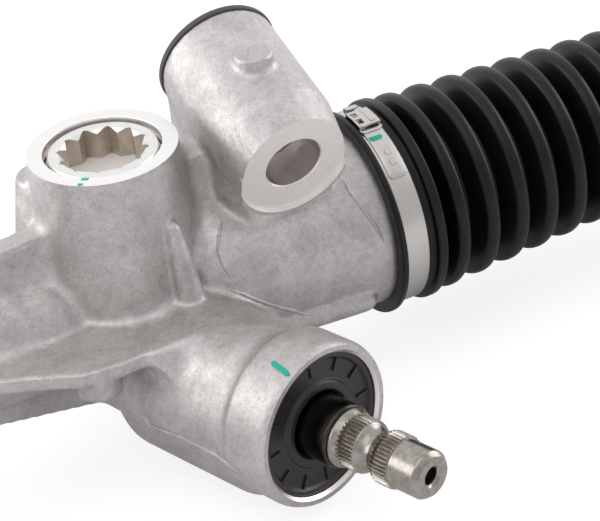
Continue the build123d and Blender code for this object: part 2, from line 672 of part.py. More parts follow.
def involute_half_angle(radius):
    """Half of a tooth's angular thickness at a radius."""
    pressure = math.radians(PRESSURE_ANGLE)
    at_base = TOOTH_THICKNESS / (2 * PITCH_RADIUS) + math.tan(pressure) - pressure
    if radius <= BASE_RADIUS:
        return at_base
    local = math.acos(BASE_RADIUS / radius)
    return at_base - (math.tan(local) - local)


def pinion_outline():
    """Points of the pinion's teeth, the first tooth pointing up at the rack."""
    flank = [PINION_ROOT, BASE_RADIUS]
    flank += [BASE_RADIUS + (PINION_TIP - BASE_RADIUS) * step / 4 for step in range(1, 5)]
    points = []
    for tooth in range(PINION_TEETH):
        middle = math.pi / 2 - tooth * 2 * math.pi / PINION_TEETH
        rising = [(radius, middle + involute_half_angle(radius)) for radius in flank]
        falling = [(radius, middle - involute_half_angle(radius)) for radius in reversed(flank)]
        points += [(radius * math.cos(turn), radius * math.sin(turn)) for radius, turn in rising + falling]
    return points


with BuildPart() as pinion_shaft:
    with BuildSketch(PINION_ACROSS):
        with BuildLine():
            Polyline(*pinion_outline(), close=True)
        make_face()
    extrude(amount=PINION_FACE_HALF, both=True)
    shaft = turned(PINION_SIDE, [
        (-PINION_FACE_HALF - LOWER_BUSH_GAP + 0.5 - LOWER_BUSH_LENGTH, 0),
        (-PINION_FACE_HALF - LOWER_BUSH_GAP + 0.5 - LOWER_BUSH_LENGTH, JOURNAL_RADIUS),
        (-PINION_FACE_HALF - 1, JOURNAL_RADIUS),
        (-PINION_FACE_HALF - 1, PINION_ROOT),
        (PINION_FACE_HALF + 6, PINION_ROOT),
        (PINION_FACE_HALF + 10, 10),
        (BEARING_SEAT - 4, 10),
        (BEARING_SEAT - 4, BEARING_BORE + 2),
        (BEARING_SEAT, BEARING_BORE + 2),
        (BEARING_SEAT, BEARING_BORE - PRESS),
        (BEARING_SEAT + BEARING_WIDTH, BEARING_BORE - PRESS),
        (BEARING_SEAT + BEARING_WIDTH, SHAFT_RADIUS),
        (SHAFT_DARK_END - 0.6, SHAFT_RADIUS),
        (SHAFT_DARK_END, SHAFT_RADIUS - 0.6),
        (SHAFT_DARK_END, SHAFT_SHOULDER),
        (SPLINE_START - 0.5, SPLINE_RADIUS),
        (SPLINE_END, SPLINE_RADIUS),
        (WAIST - 2.5, WAIST_RADIUS),
        (WAIST + 0.5, WAIST_RADIUS),
        (SPLINE_TWO, SPLINE_RADIUS),
        (PILOT_START, SPLINE_RADIUS),
        (PILOT_START + 0.6, PILOT_RADIUS),
        (SHAFT_END - 1.5, PILOT_RADIUS),
        (SHAFT_END, PILOT_RADIUS - 1.5),
        (SHAFT_END, 0),
    ])
    revolve(shaft, axis=PINION_AXIS)
    # Centre hole in the free end
    hole = turned(PINION_SIDE, ring_points(SHAFT_END - CENTRE_HOLE_DEPTH, SHAFT_END, 0, CENTRE_HOLE))
    revolve(hole, axis=PINION_AXIS, mode=Mode.SUBTRACT)
    # Splines: grooves cut through both splined bands
    for start, end in ((SPLINE_START, SPLINE_END), (SPLINE_TWO, PILOT_START)):
        with BuildSketch(PINION_ACROSS.offset(start)):
            with PolarLocations(SPLINE_RADIUS, SPLINE_COUNT):
                RegularPolygon(SPLINE_RADIUS - SPLINE_ROOT, 3, rotation=180)
        extrude(amount=end - start, mode=Mode.SUBTRACT)
finish(pinion_shaft.part, "pinion_shaft")

BEARING_END = BEARING_SEAT + BEARING_WIDTH
BEARING_MIDDLE = BEARING_SEAT + BEARING_WIDTH / 2
BALL_TRACK = (SEAL_BORE + BEARING_BORE) / 2
BEARING_BALL = 3.6
RACE_WALL = 3.0
BEARING_BALLS = 9

with BuildPart() as pinion_bearing_outer:
    outer_ring = ring_points(BEARING_SEAT, BEARING_END, SEAL_BORE - RACE_WALL, SEAL_BORE - PRESS)
    revolve(turned(PINION_SIDE, outer_ring), axis=PINION_AXIS)
    with BuildSketch(PINION_SIDE):
        with Locations((BEARING_MIDDLE, BALL_TRACK)):
            Circle(BEARING_BALL + RUNNING)
    revolve(axis=PINION_AXIS, mode=Mode.SUBTRACT)
finish(pinion_bearing_outer.part, "pinion_bearing_outer")

with BuildPart() as pinion_bearing_inner:
    inner_ring = ring_points(BEARING_SEAT, BEARING_END, BEARING_BORE, BEARING_BORE + RACE_WALL)
    revolve(turned(PINION_SIDE, inner_ring), axis=PINION_AXIS)
    with BuildSketch(PINION_SIDE):
        with Locations((BEARING_MIDDLE, BALL_TRACK)):
            Circle(BEARING_BALL + RUNNING)
    revolve(axis=PINION_AXIS, mode=Mode.SUBTRACT)
finish(pinion_bearing_inner.part, "pinion_bearing_inner")

with BuildPart() as pinion_bearing_balls:
    with Locations(PINION_ACROSS.offset(BEARING_MIDDLE)):
        with PolarLocations(BALL_TRACK, BEARING_BALLS):
            Sphere(BEARING_BALL)
finish(pinion_bearing_balls.part, "pinion_bearing_balls")

with BuildPart() as pinion_snap_ring:
    with BuildSketch(PINION_ACROSS.offset(BEARING_END + PRESS)):
        Circle(SEAL_BORE + RING_GROOVE - PRESS)
        Circle(SEAL_BORE - 3, mode=Mode.SUBTRACT)
        with Locations((0, -SEAL_BORE)):
            Rectangle(9, 10, mode=Mode.SUBTRACT)
    extrude(amount=RING_THICKNESS - 2 * PRESS)
finish(pinion_snap_ring.part, "pinion_snap_ring")

with BuildPart() as pinion_lower_bush:
    lower_end = -PINION_FACE_HALF - LOWER_BUSH_GAP
    lower_start = lower_end - LOWER_BUSH_LENGTH
    lower_ring = ring_points(lower_start, lower_end, JOURNAL_RADIUS + RUNNING, LOWER_BUSH_RADIUS - PRESS)
    revolve(turned(PINION_SIDE, lower_ring), axis=PINION_AXIS)
finish(pinion_lower_bush.part, "pinion_lower_bush")

SEAL_FACE = BARREL_FACE - SEAL_RECESS
SEAL_LIP = SHAFT_RADIUS + RUNNING

with BuildPart() as pinion_seal:
    seal_section = turned(PINION_SIDE, [
        (SEAL_FACE - SEAL_WIDTH, SEAL_BORE - 3.5),
        (SEAL_FACE - SEAL_WIDTH, SEAL_BORE - PRESS),
        (SEAL_FACE, SEAL_BORE - PRESS),
        (SEAL_FACE, SEAL_BORE - 2.4),
        (SEAL_FACE - 0.8, SEAL_BORE - 3),
        (SEAL_FACE - 0.8, SHAFT_RADIUS + 3.6),
        (SEAL_FACE + 0.6, SHAFT_RADIUS + 2.4),
        (SEAL_FACE + 0.6, SEAL_LIP),
        (SEAL_FACE - 2.5, SEAL_LIP),
        (SEAL_FACE - 3.2, SHAFT_RADIUS + 2.4),
        (SEAL_FACE - 3.2, SEAL_BORE - 3.5),
    ])
    revolve(seal_section, axis=PINION_AXIS)
finish(pinion_seal.part, "pinion_seal")


# Mounting bushes: pressed steel shell, bonded rubber with a flange, inner sleeve

for side, centre in MOUNT_CENTRES.items():
    bush_plane = mount_across(centre)
    bush_length = MOUNT_BOSS_LENGTH - MOUNT_WALL
    with BuildPart() as mount_bush_shell:
        with BuildSketch(bush_plane.offset(-MOUNT_WALL)):
            Circle(BUSH_RADIUS - PRESS)
            Circle(BUSH_RADIUS - BUSH_SHELL, mode=Mode.SUBTRACT)
        extrude(amount=-bush_length)
    finish(mount_bush_shell.part, f"mount_bush_shell_{side}")

    with BuildPart() as mount_bush_rubber:
        with BuildSketch(bush_plane.offset(-MOUNT_WALL)):
            Circle(BUSH_RADIUS - BUSH_SHELL - PRESS)
            Circle(BUSH_SLEEVE + PRESS, mode=Mode.SUBTRACT)
        extrude(amount=-bush_length)
        with BuildSketch(bush_plane.offset(-MOUNT_BOSS_LENGTH)):
            Circle(BUSH_FLANGE_RADIUS)
            Circle(BUSH_SLEEVE + PRESS, mode=Mode.SUBTRACT)
        extrude(amount=-BUSH_FLANGE)
    finish(mount_bush_rubber.part, f"mount_bush_rubber_{side}")

    with BuildPart() as mount_bush_sleeve:
        with BuildSketch(bush_plane.offset(-MOUNT_WALL)):
            Circle(BUSH_SLEEVE)
            Circle(BUSH_SLEEVE_BORE, mode=Mode.SUBTRACT)
        extrude(amount=-bush_length - BUSH_FLANGE - 1)
    finish(mount_bush_sleeve.part, f"mount_bush_sleeve_{side}")


# Inner ball joints, tie rods, jam nuts, boots and clamps at both ends

def boot_outer_points():
    """Outer half section of a boot, from its large bead to its small end."""
    flange = BOOT_FLANGE_PLACE
    points = [
        (BOOT_START, BOOT_BEAD_RADIUS),
        (BOOT_START + 2.4, BOOT_BEAD_RADIUS),
        (BOOT_START + 2.6, BOOT_BAND_RADIUS),
        (flange - BOOT_FLANGE_HALF, BOOT_BAND_RADIUS),
        (flange - BOOT_FLANGE_HALF + 0.8, BOOT_FLANGE_RADIUS),
        (flange + BOOT_FLANGE_HALF - 0.8, BOOT_FLANGE_RADIUS),
        (flange + BOOT_FLANGE_HALF, BOOT_FLANGE_RADIUS - 1.5),
        (BOOT_SHOULDER, NECK_RADIUS + BOOT_WALL),
    ]
    for ring in range(BOOT_RINGS):
        middle = BOOT_FIRST_CREST + ring * BOOT_PITCH
        crest = BOOT_CREST_RADIUS - ring * BOOT_CREST_TAPER
        valley_start = max(middle - BOOT_PITCH / 2 + BOOT_VALLEY_WIDTH / 2, 1.6 * BOOT_SHOULDER)
        points += [
            (valley_start, crest - BOOT_FOLD),
            (middle - BOOT_CREST_WIDTH / 2, crest - 0.6),
            (middle, crest),
            (middle + BOOT_CREST_WIDTH / 2, crest - 0.6),
            (middle + BOOT_PITCH / 2 - BOOT_VALLEY_WIDTH / 2, crest - BOOT_FOLD),
        ]
    points += [
        (BOOT_END - BOOT_END_LENGTH - 2, BOOT_END_BORE + BOOT_END_WALL + 2),
        (BOOT_END - BOOT_END_LENGTH, BOOT_END_BORE + BOOT_END_WALL),
        (BOOT_END, BOOT_END_BORE + BOOT_END_WALL),
    ]
    return points


def boot_inner_points():
    """Inner half section of a boot, from its small end back to its large bead."""
    last_valley = BOOT_CREST_RADIUS - (BOOT_RINGS - 1) * BOOT_CREST_TAPER - BOOT_FOLD
    return [
        (BOOT_END, BOOT_END_BORE),
        (BOOT_END - BOOT_END_LENGTH, BOOT_END_BORE),
        (BOOT_LAST_CREST + BOOT_PITCH / 2, last_valley - BOOT_WALL),
        (1.6 * BOOT_SHOULDER, BOOT_CREST_RADIUS - BOOT_FOLD - BOOT_WALL),
        (PRESS, BOOT_CREST_RADIUS - BOOT_FOLD),
        (PRESS, NECK_RADIUS + PRESS),
        (BOOT_START, NECK_RADIUS + PRESS),
    ]


BAND_MIDDLE = BOOT_START + 2.8 + CLAMP_WIDTH / 2
BAND_TOP = BOOT_BAND_RADIUS + PRESS + CLAMP_THICKNESS


def band_piece(across, inner, outer, turns):
    """A sketch of part of a ring between two angles from the plane's x."""
    reach = 3 * outer
    radians = [math.radians(turn) for turn in turns]
    corners = [(reach * math.cos(turn), reach * math.sin(turn)) for turn in radians]
    with BuildSketch(across) as sketch:
        Circle(outer)
        Circle(inner, mode=Mode.SUBTRACT)
        with BuildLine():
            Polyline((0, 0), *corners, close=True)
        make_face(mode=Mode.INTERSECT)
    return sketch.sketch

for side in ("right", "left"):
    out = end_side(side)
    out_axis = axis_of(out)
    ball = BALL_PLACE
    rod_tip = ball + ROD_LENGTH
    nut_start = rod_tip - JAM_NUT_PLACE

    with BuildPart() as inner_socket:
        mouth = ball + SEAT_RADIUS * math.cos(math.radians(SOCKET_OPENING))
        revolve(turned(out, [
            (RACK_OVERHANG - STUD_LENGTH, 0),
            (RACK_OVERHANG - STUD_LENGTH, STUD_RADIUS),
            (RACK_OVERHANG, STUD_RADIUS),
            (RACK_OVERHANG, SOCKET_RADIUS - 1),
            (RACK_OVERHANG + 1, SOCKET_RADIUS),
            (mouth - 4, SOCKET_RADIUS),
            (mouth, SOCKET_RADIUS - 3),
            (mouth, 0),
        ]), axis=out_axis)
        with Locations(end_across(side, ball)):
            Sphere(SEAT_RADIUS + RUNNING, mode=Mode.SUBTRACT)
        with BuildSketch(end_across(side, RACK_OVERHANG)):
            Rectangle(3 * SOCKET_RADIUS, 3 * SOCKET_RADIUS)
            Rectangle(3 * SOCKET_RADIUS, SOCKET_FLAT, mode=Mode.SUBTRACT)
        extrude(amount=SOCKET_FLAT_LENGTH, mode=Mode.SUBTRACT)
    finish(inner_socket.part, f"inner_socket_{side}")

    with BuildPart() as ball_seat:
        seat_edge = SEAT_RADIUS * math.cos(math.radians(SEAT_OPENING))
        with Locations(end_across(side, ball)):
            Sphere(SEAT_RADIUS)
            Sphere(BALL_RADIUS + RUNNING, mode=Mode.SUBTRACT)
        with BuildSketch(end_across(side, ball + seat_edge)):
            Circle(2 * SEAT_RADIUS)
        extrude(amount=2 * SEAT_RADIUS, mode=Mode.SUBTRACT)
    finish(ball_seat.part, f"ball_seat_{side}")

    with BuildPart() as tie_rod:
        with Locations(end_across(side, ball)):
            Sphere(BALL_RADIUS)
        groove = BOOT_GROOVE_DEPTH
        groove_start = BOOT_END - BOOT_END_LENGTH - SOFT_GAP
        revolve(turned(out, [
            (ball, 0),
            (ball, NECK_OF_ROD),
            (ball + ROD_NECK_END, NECK_OF_ROD),
            (ball + ROD_SHOULDER, ROD_RADIUS),
            (groove_start - groove, ROD_RADIUS),
            (groove_start, ROD_RADIUS - groove),
            (BOOT_END + SOFT_GAP, ROD_RADIUS - groove),
            (BOOT_END + SOFT_GAP + groove, ROD_RADIUS),
            (rod_tip - THREAD_LENGTH - 1, ROD_RADIUS),
            (rod_tip - THREAD_LENGTH, THREAD_RADIUS),
            (nut_start, THREAD_RADIUS),
            (nut_start, THREAD_PITCH_RADIUS),
            (nut_start + JAM_NUT_HEIGHT, THREAD_PITCH_RADIUS),
            (nut_start + JAM_NUT_HEIGHT, THREAD_RADIUS),
            (rod_tip - 1.5, THREAD_RADIUS),
            (rod_tip, THREAD_RADIUS - 1.5),
            (rod_tip, 0),
        ]), axis=out_axis)
        # Spanner flats behind the thread
        with BuildSketch(end_across(side, rod_tip - THREAD_LENGTH - ROD_FLAT_INSET)):
            Rectangle(3 * ROD_RADIUS, 3 * ROD_RADIUS)
            Rectangle(3 * ROD_RADIUS, ROD_FLAT, mode=Mode.SUBTRACT)
        extrude(amount=-ROD_FLAT_LENGTH, mode=Mode.SUBTRACT)
    finish(tie_rod.part, f"tie_rod_{side}")

    with BuildPart() as jam_nut:
        with BuildSketch(end_across(side, nut_start)):
            RegularPolygon(JAM_NUT_FLATS / 2, 6, major_radius=False)
            Circle(THREAD_PITCH_RADIUS + PRESS, mode=Mode.SUBTRACT)
        extrude(amount=JAM_NUT_HEIGHT)
        nut_cone = JAM_NUT_FLATS / 2 + 0.3
        with BuildSketch(out):
            with BuildLine():
                Polyline(
                    (nut_start, nut_cone),
                    (nut_start + 1.2, nut_cone + 2),
                    (nut_start + JAM_NUT_HEIGHT - 1.2, nut_cone + 2),
                    (nut_start + JAM_NUT_HEIGHT, nut_cone),
                    (nut_start + JAM_NUT_HEIGHT, 0),
                    (nut_start, 0),
                    close=True,
                )
            make_face()
        revolve(axis=out_axis, mode=Mode.INTERSECT)
    finish(jam_nut.part, f"jam_nut_{side}")

    with BuildPart() as boot:
        revolve(turned(out, boot_outer_points() + boot_inner_points()), axis=out_axis)
    finish(boot.part, f"boot_{side}")

    with BuildPart() as boot_clamp:
        with BuildSketch(end_across(side, BAND_MIDDLE - CLAMP_WIDTH / 2)):
            Circle(BAND_TOP)
            Circle(BOOT_BAND_RADIUS + PRESS, mode=Mode.SUBTRACT)
        extrude(amount=CLAMP_WIDTH)
        # The strip's free end on top of the band, and the buckle over it
        across = Plane(origin=out.origin + out.x_dir * BAND_MIDDLE, x_dir=UP, z_dir=out.x_dir)
        strap = band_piece(across, BAND_TOP - 0.2, BAND_TOP + CLAMP_THICKNESS, CLAMP_STRAP)
        extrude(strap, amount=CLAMP_STRAP_WIDTH / 2, both=True)
        buckle = band_piece(across, BAND_TOP - 0.2, BAND_TOP + CLAMP_BUCKLE_HEIGHT, CLAMP_BUCKLE)
        extrude(buckle, amount=CLAMP_WIDTH / 2, both=True)
    finish(boot_clamp.part, f"boot_clamp_{side}")

    with BuildPart() as boot_clip:
        clip_inner = BOOT_END_BORE + BOOT_END_WALL + SOFT_GAP
        with BuildSketch(end_across(side, BOOT_END - BOOT_END_LENGTH + 1.5)):
            Circle(clip_inner + CLIP_THICKNESS)
            with Locations((-1.6, clip_inner + 2.5), (1.6, clip_inner + 2.5)):
                Rectangle(CLIP_THICKNESS, 7)
            Circle(clip_inner, mode=Mode.SUBTRACT)
        extrude(amount=CLIP_WIDTH)
    finish(boot_clip.part, f"boot_clip_{side}")
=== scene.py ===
import math

import bmesh
import bpy
import numpy as np
from mathutils import Matrix, Vector
from mathutils.bvhtree import BVHTree


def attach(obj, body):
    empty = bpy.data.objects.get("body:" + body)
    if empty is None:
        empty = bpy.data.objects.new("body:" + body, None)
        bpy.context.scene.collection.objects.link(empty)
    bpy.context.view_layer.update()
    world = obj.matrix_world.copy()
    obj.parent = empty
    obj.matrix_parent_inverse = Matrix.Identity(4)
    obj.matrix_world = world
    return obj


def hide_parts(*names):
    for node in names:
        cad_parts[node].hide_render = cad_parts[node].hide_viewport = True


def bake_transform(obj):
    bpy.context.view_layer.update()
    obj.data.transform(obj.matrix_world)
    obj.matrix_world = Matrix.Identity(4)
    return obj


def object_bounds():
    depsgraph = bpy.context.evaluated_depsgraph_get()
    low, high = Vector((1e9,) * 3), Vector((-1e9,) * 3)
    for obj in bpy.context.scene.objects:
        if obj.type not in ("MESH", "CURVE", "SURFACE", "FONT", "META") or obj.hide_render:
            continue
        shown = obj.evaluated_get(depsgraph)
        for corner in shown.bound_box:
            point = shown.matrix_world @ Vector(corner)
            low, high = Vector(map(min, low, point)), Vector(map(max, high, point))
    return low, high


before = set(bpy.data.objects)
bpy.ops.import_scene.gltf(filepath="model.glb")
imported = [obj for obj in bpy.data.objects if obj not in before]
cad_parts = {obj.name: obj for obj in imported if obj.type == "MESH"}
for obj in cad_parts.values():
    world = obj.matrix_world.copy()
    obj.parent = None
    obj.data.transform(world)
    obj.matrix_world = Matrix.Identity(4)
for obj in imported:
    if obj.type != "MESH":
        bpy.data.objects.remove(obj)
cad_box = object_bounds()
scene = bpy.context.scene

# Places and sizes in millimetres, in the frame of the CAD model

MM = 0.001
CROSS = Vector((-51.6, 27.4, -42.9))        # yoke axis and rack axis
PINION_AT = CROSS - Vector((0, 0, 16.15))
SLANT = math.radians(18.7)
DIP = math.radians(17.9)
PINION_DIR = Vector((math.sin(SLANT), -math.cos(SLANT), 0))
MOUNT_DIR = Vector((0, -math.cos(DIP), -math.sin(DIP)))
MOUNTS = {"right": Vector((0, 0, 0)), "left": Vector((-400, 0, 0))}
NEAR_END, FAR_END = 100.0, 400.0            # ends of the housing, from the yoke axis
NECK = 18.1                                 # end of the housing back to the shoulder of its bell
OUT = {"right": Vector((1, 0, 0)), "left": Vector((-1, 0, 0))}
BOSS_TOP = 54.9                             # face of the yoke boss over the rack axis
BARREL_FACE = 85.4                          # mouth of the pinion barrel from the crossing
BARREL_BORE = 23.5
YOKE_SEAT = 40.9                            # inner end of the yoke plug over the rack axis
BOSS_LENGTH = 51.4                          # mounting boss, from its spot face to its far end
BOSS_RADIUS = 20.0
SPOT_RADIUS = 19.3
MOUNT_BORE = 9.45
BALL = 78.3                                 # end of the housing to the inner ball
ROD_TIP = BALL + 285.0
THREAD = 85.0                               # threaded length of a tie rod
SLOT_CAST, SLOT_CUT, SLOT_PAINT, SLOT_PAINTED_HIGHLIGHT = 0, 1, 2, 3
COARSE, FINE = 1.1, 0.72                    # squares of the two remeshings of the casting
UPRIGHT = ((0, 0, 1), (1, 0, 0))            # a z axis and an x axis


def axes(origin, z, x=(0, 0, 1)):
    """A matrix whose z looks one way and whose x is as near as can be to another."""
    z = Vector(z).normalized()
    x = Vector(x)
    x = (x - z * x.dot(z)).normalized()
    y = z.cross(x)
    rows = [(x[i], y[i], z[i], origin[i]) for i in range(3)]
    return Matrix((*rows, (0, 0, 0, 1)))


RACK = axes(CROSS, (1, 0, 0))
BENCH = axes(CROSS, (0, 0, 1), (1, 0, 0))
PINION = axes(PINION_AT, PINION_DIR)
MOUNT = {side: axes(centre, MOUNT_DIR, (1, 0, 0)) for side, centre in MOUNTS.items()}
END = {
    "right": axes(CROSS + Vector((NEAR_END, 0, 0)), OUT["right"]),
    "left": axes(CROSS - Vector((FAR_END, 0, 0)), OUT["left"]),
}


# Mesh helpers

def rounded(points, radius, count=4):
    """The same line with its inner corners turned into small curves."""
    result = [points[0]]
    for before, corner, after in zip(points, points[1:], points[2:]):
        before, corner, after = (Vector((p[0], p[1])) for p in (before, corner, after))
        back, ahead = before - corner, after - corner
        reach = min(radius, 0.45 * back.length, 0.45 * ahead.length)
        if reach < 0.02:
            result.append(tuple(corner))
            continue
        start, end = corner + back.normalized() * reach, corner + ahead.normalized() * reach
        for step in range(count + 1):
            t = step / count
            result.append(tuple(start * (1 - t) ** 2 + corner * 2 * t * (1 - t) + end * t * t))
    result.append(points[-1])
    return result


def lathe(bm, matrix, profile, steps=96, wave=None, loop=False, span=math.tau):
    """Turns (along, radius) points about the z axis of a matrix."""
    full = abs(span - math.tau) < 1e-6
    count = steps if full else steps + 1
    rings = []
    for along, radius in profile:
        if radius < 1e-6:
            rings.append([bm.verts.new((matrix @ Vector((0, 0, along))) * MM)])
            continue
        ring = []
        for i in range(count):
            turn = span * i / steps
            r = wave(along, radius, turn) if wave else radius
            ring.append(bm.verts.new((matrix @ Vector((r * math.cos(turn), r * math.sin(turn), along))) * MM))
        rings.append(ring)
    pairs = list(zip(rings, rings[1:]))
    if loop:
        pairs.append((rings[-1], rings[0]))
    for a, b in pairs:
        for i in range(steps):
            j = (i + 1) % count
            corners = []
            for v in (a[i % len(a)], a[j % len(a)], b[j % len(b)], b[i % len(b)]):
                if v not in corners:
                    corners.append(v)
            if len(corners) > 2:
                bm.faces.new(corners)
    if not full:
        bm.faces.new([ring[0] for ring in rings])
        bm.faces.new([ring[-1] for ring in reversed(rings)])


def prism(bm, matrix, outline, low, high):
    """An outline in a matrix's own plane, from one height to another."""
    bottom = [bm.verts.new((matrix @ Vector((x, y, low))) * MM) for x, y in outline]
    top = [bm.verts.new((matrix @ Vector((x, y, high))) * MM) for x, y in outline]
    bm.faces.new(list(reversed(bottom)))
    bm.faces.new(top)
    for i in range(len(outline)):
        j = (i + 1) % len(outline)
        bm.faces.new((bottom[i], bottom[j], top[j], top[i]))


def capsule(bm, start, end, first, last, steps=24):
    """A round bar with ball ends, between two points."""
    start, end = Vector(start), Vector(end)
    length = (end - start).length
    profile = [(-first * math.cos(t), first * math.sin(t)) for t in np.linspace(0, math.pi / 2, 6)]
    profile += [(length + last * math.sin(t), last * math.cos(t)) for t in np.linspace(0, math.pi / 2, 6)]
    profile[0], profile[-1] = (profile[0][0], 0), (profile[-1][0], 0)
    way = end - start
    lathe(bm, axes(start, way, (0, 0, 1) if abs(way.normalized().z) < 0.9 else (1, 0, 0)), profile, steps)


def skin(bm, rings):
    """A closed skin over rings of places, all with the same count, ends filled."""
    rows = [[bm.verts.new(Vector(place) * MM) for place in ring] for ring in rings]
    count = len(rows[0])
    for a, b in zip(rows, rows[1:]):
        for i in range(count):
            j = (i + 1) % count
            bm.faces.new((a[i], a[j], b[j], b[i]))
    bm.faces.new(list(reversed(rows[0])))
    bm.faces.new(rows[-1])


def box(bm, matrix, low, high):
    """A block between two corners, in a matrix's own axes."""
    outline = [(low[0], low[1]), (high[0], low[1]), (high[0], high[1]), (low[0], high[1])]
    prism(bm, matrix, outline, low[2], high[2])


def hull(bm, places):
    """The convex body round some places."""
    bmesh.ops.convex_hull(bm, input=[bm.verts.new(place * MM) for place in places])


def painted(bm, first, slot):
    """Gives the faces added since a count the material in a slot."""
    bm.faces.ensure_lookup_table()
    bmesh.ops.recalc_face_normals(bm, faces=bm.faces[first:])
    for face in bm.faces[first:]:
        face.material_index = slot


def object_of(name, bm, materials=(), sharp=38.0):
    """A linked object made of a bmesh, its edges sharp above an angle."""
    bmesh.ops.recalc_face_normals(bm, faces=bm.faces)
    mesh = bpy.data.meshes.new(name)
    bm.to_mesh(mesh)
    bm.free()
    for entry in materials:
        mesh.materials.append(entry)
    mesh.shade_smooth()
    mesh.set_sharp_from_angle(angle=math.radians(sharp))
    obj = bpy.data.objects.new(name, mesh)
    scene.collection.objects.link(obj)
    return obj


def applied(obj):
    """Turns an object's modifiers into its mesh."""
    bpy.context.view_layer.update()
    shape = bpy.data.meshes.new_from_object(obj.evaluated_get(bpy.context.evaluated_depsgraph_get()))
    obj.modifiers.clear()
    old, obj.data = obj.data, shape
    bpy.data.meshes.remove(old)


def cut(target, build, slot=SLOT_CUT, operation="DIFFERENCE"):
    """Cuts the shape that build makes out of an object, or joins it, its new faces in one material slot."""
    bm = bmesh.new()
    build(bm)
    for face in bm.faces:
        face.material_index = slot
    tool = object_of("tool", bm, list(target.data.materials))
    change = target.modifiers.new("cut", "BOOLEAN")
    change.operation, change.solver, change.object = operation, "MANIFOLD", tool
    applied(target)
    bpy.data.objects.remove(tool)


def finish(obj, body, replaced=(), sharp=38.0):
    """Sharpens an object's edges again and sets what it rides on and stands for."""
    obj.data.shade_smooth()
    obj.data.set_sharp_from_angle(angle=math.radians(sharp))
    if body:
        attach(obj, body)
    if replaced:
        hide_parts(*replaced)
    return obj


# Materials

def material(name, colour, metallic, roughness, **sockets):
    """A plain material; more sockets of its shader are named by their lower-case words."""
    made = bpy.data.materials.new(name)
    made.use_nodes = True
    shader = made.node_tree.nodes["Principled BSDF"]
    shader.inputs["Base Color"].default_value = (*colour, 1)
    shader.inputs["Metallic"].default_value = metallic
    shader.inputs["Roughness"].default_value = roughness
    for socket, value in sockets.items():
        label = socket.replace("_", " ").title().replace("Ior", "IOR")
        shader.inputs[label].default_value = value
    return made


def add(made, kind, **values):
    """A new node, its inputs or settings set by name."""
    node = made.node_tree.nodes.new(kind)
    for key, value in values.items():
        if key in node.inputs:
            node.inputs[key].default_value = value
        else:
            setattr(node, key, value)
    return node


def link(made, start, end):
    made.node_tree.links.new(start, end)


def noise_of(made, scale, detail=4.0, roughness=0.55, stretch=None, distortion=0.0):
    """Noise at a number of cells a metre, over the object's own coordinates."""
    place = add(made, "ShaderNodeTexCoord")
    source = place.outputs["Object"]
    if stretch:
        shape = add(made, "ShaderNodeMapping")
        shape.inputs["Scale"].default_value = stretch
        link(made, source, shape.inputs["Vector"])
        source = shape.outputs["Vector"]
    node = add(
        made, "ShaderNodeTexNoise", Scale=scale, Detail=detail, Roughness=roughness, Distortion=distortion)
    link(made, source, node.inputs["Vector"])
    return node.outputs["Fac"]


def ramp(made, source, stops):
    """A colour or grey that follows a value: stops are (place, colour)."""
    node = add(made, "ShaderNodeValToRGB")
    elements = node.color_ramp.elements
    for index, (place, colour) in enumerate(stops):
        element = elements[index] if index < 2 else elements.new(place)
        element.position = place
        colour = colour if isinstance(colour, tuple) else (colour,) * 3
        element.color = (*colour, 1)
    link(made, source, node.inputs["Fac"])
    return node.outputs["Color"]


def mixed(made, factor, first, second, blend="MIX"):
    """Two colours mixed, each one a value, a colour or an output."""
    node = add(made, "ShaderNodeMix", data_type="RGBA", blend_type=blend)
    sockets = [s for s in node.inputs if s.enabled]
    for value, socket in zip((factor, first, second), sockets):
        if isinstance(value, (int, float)):
            socket.default_value = value
        elif isinstance(value, tuple):
            socket.default_value = (*value, 1)
        else:
            link(made, value, socket)
    return [s for s in node.outputs if s.enabled][0]


def bump(made, sources):
    """Bump from several (height, strength, distance in mm) at once."""
    shader = made.node_tree.nodes["Principled BSDF"]
    last = None
    for source, strength, distance in sources:
        node = add(made, "ShaderNodeBump", Strength=strength, Distance=distance * MM)
        link(made, source, node.inputs["Height"])
        if last:
            link(made, last, node.inputs["Normal"])
        last = node.outputs["Normal"]
    link(made, last, shader.inputs["Normal"])


def paint(made, colour, roughness):
    """Links a colour and a roughness to the shader."""
    shader = made.node_tree.nodes["Principled BSDF"]
    link(made, colour, shader.inputs["Base Color"])
    link(made, roughness, shader.inputs["Roughness"])


def cast_metal():
    """Die-cast aluminium, blasted: cloudy grey, fine pits and a few scratches."""
    made = material("cast_aluminium", (0.6, 0.57, 0.565), 1.0, 0.5)
    cloud = noise_of(made, 40, 6, 0.65, distortion=1.0)
    mottle = noise_of(made, 420, 6, 0.75)
    grain = noise_of(made, 1500, 5, 0.75)
    tone = ramp(made, cloud, [(0.32, (0.56, 0.531, 0.526)), (0.68, (0.76, 0.722, 0.717))])
    spots = ramp(made, mottle, [(0.3, 0.72), (0.58, 1.0)])
    specks = ramp(made, grain, [(0.32, 0.5), (0.47, 1.0)])
    scratch = noise_of(made, 46, 3, 0.5, stretch=(1, 11, 5), distortion=1.6)
    lines = ramp(made, scratch, [(0.0, 0.0), (0.494, 0.0), (0.5, 1.0), (0.506, 0.0)])
    worn = mixed(made, 0.7, mixed(made, 0.7, tone, spots, "MULTIPLY"), specks, "MULTIPLY")
    paint(made, worn, ramp(made, noise_of(made, 120, 5, 0.65), [(0.3, 0.4), (0.7, 0.56)]))
    bump(made, [(cloud, 0.25, 1.3), (mottle, 0.5, 0.2), (grain, 0.7, 0.07), (lines, 0.4, 0.1)])
    return made


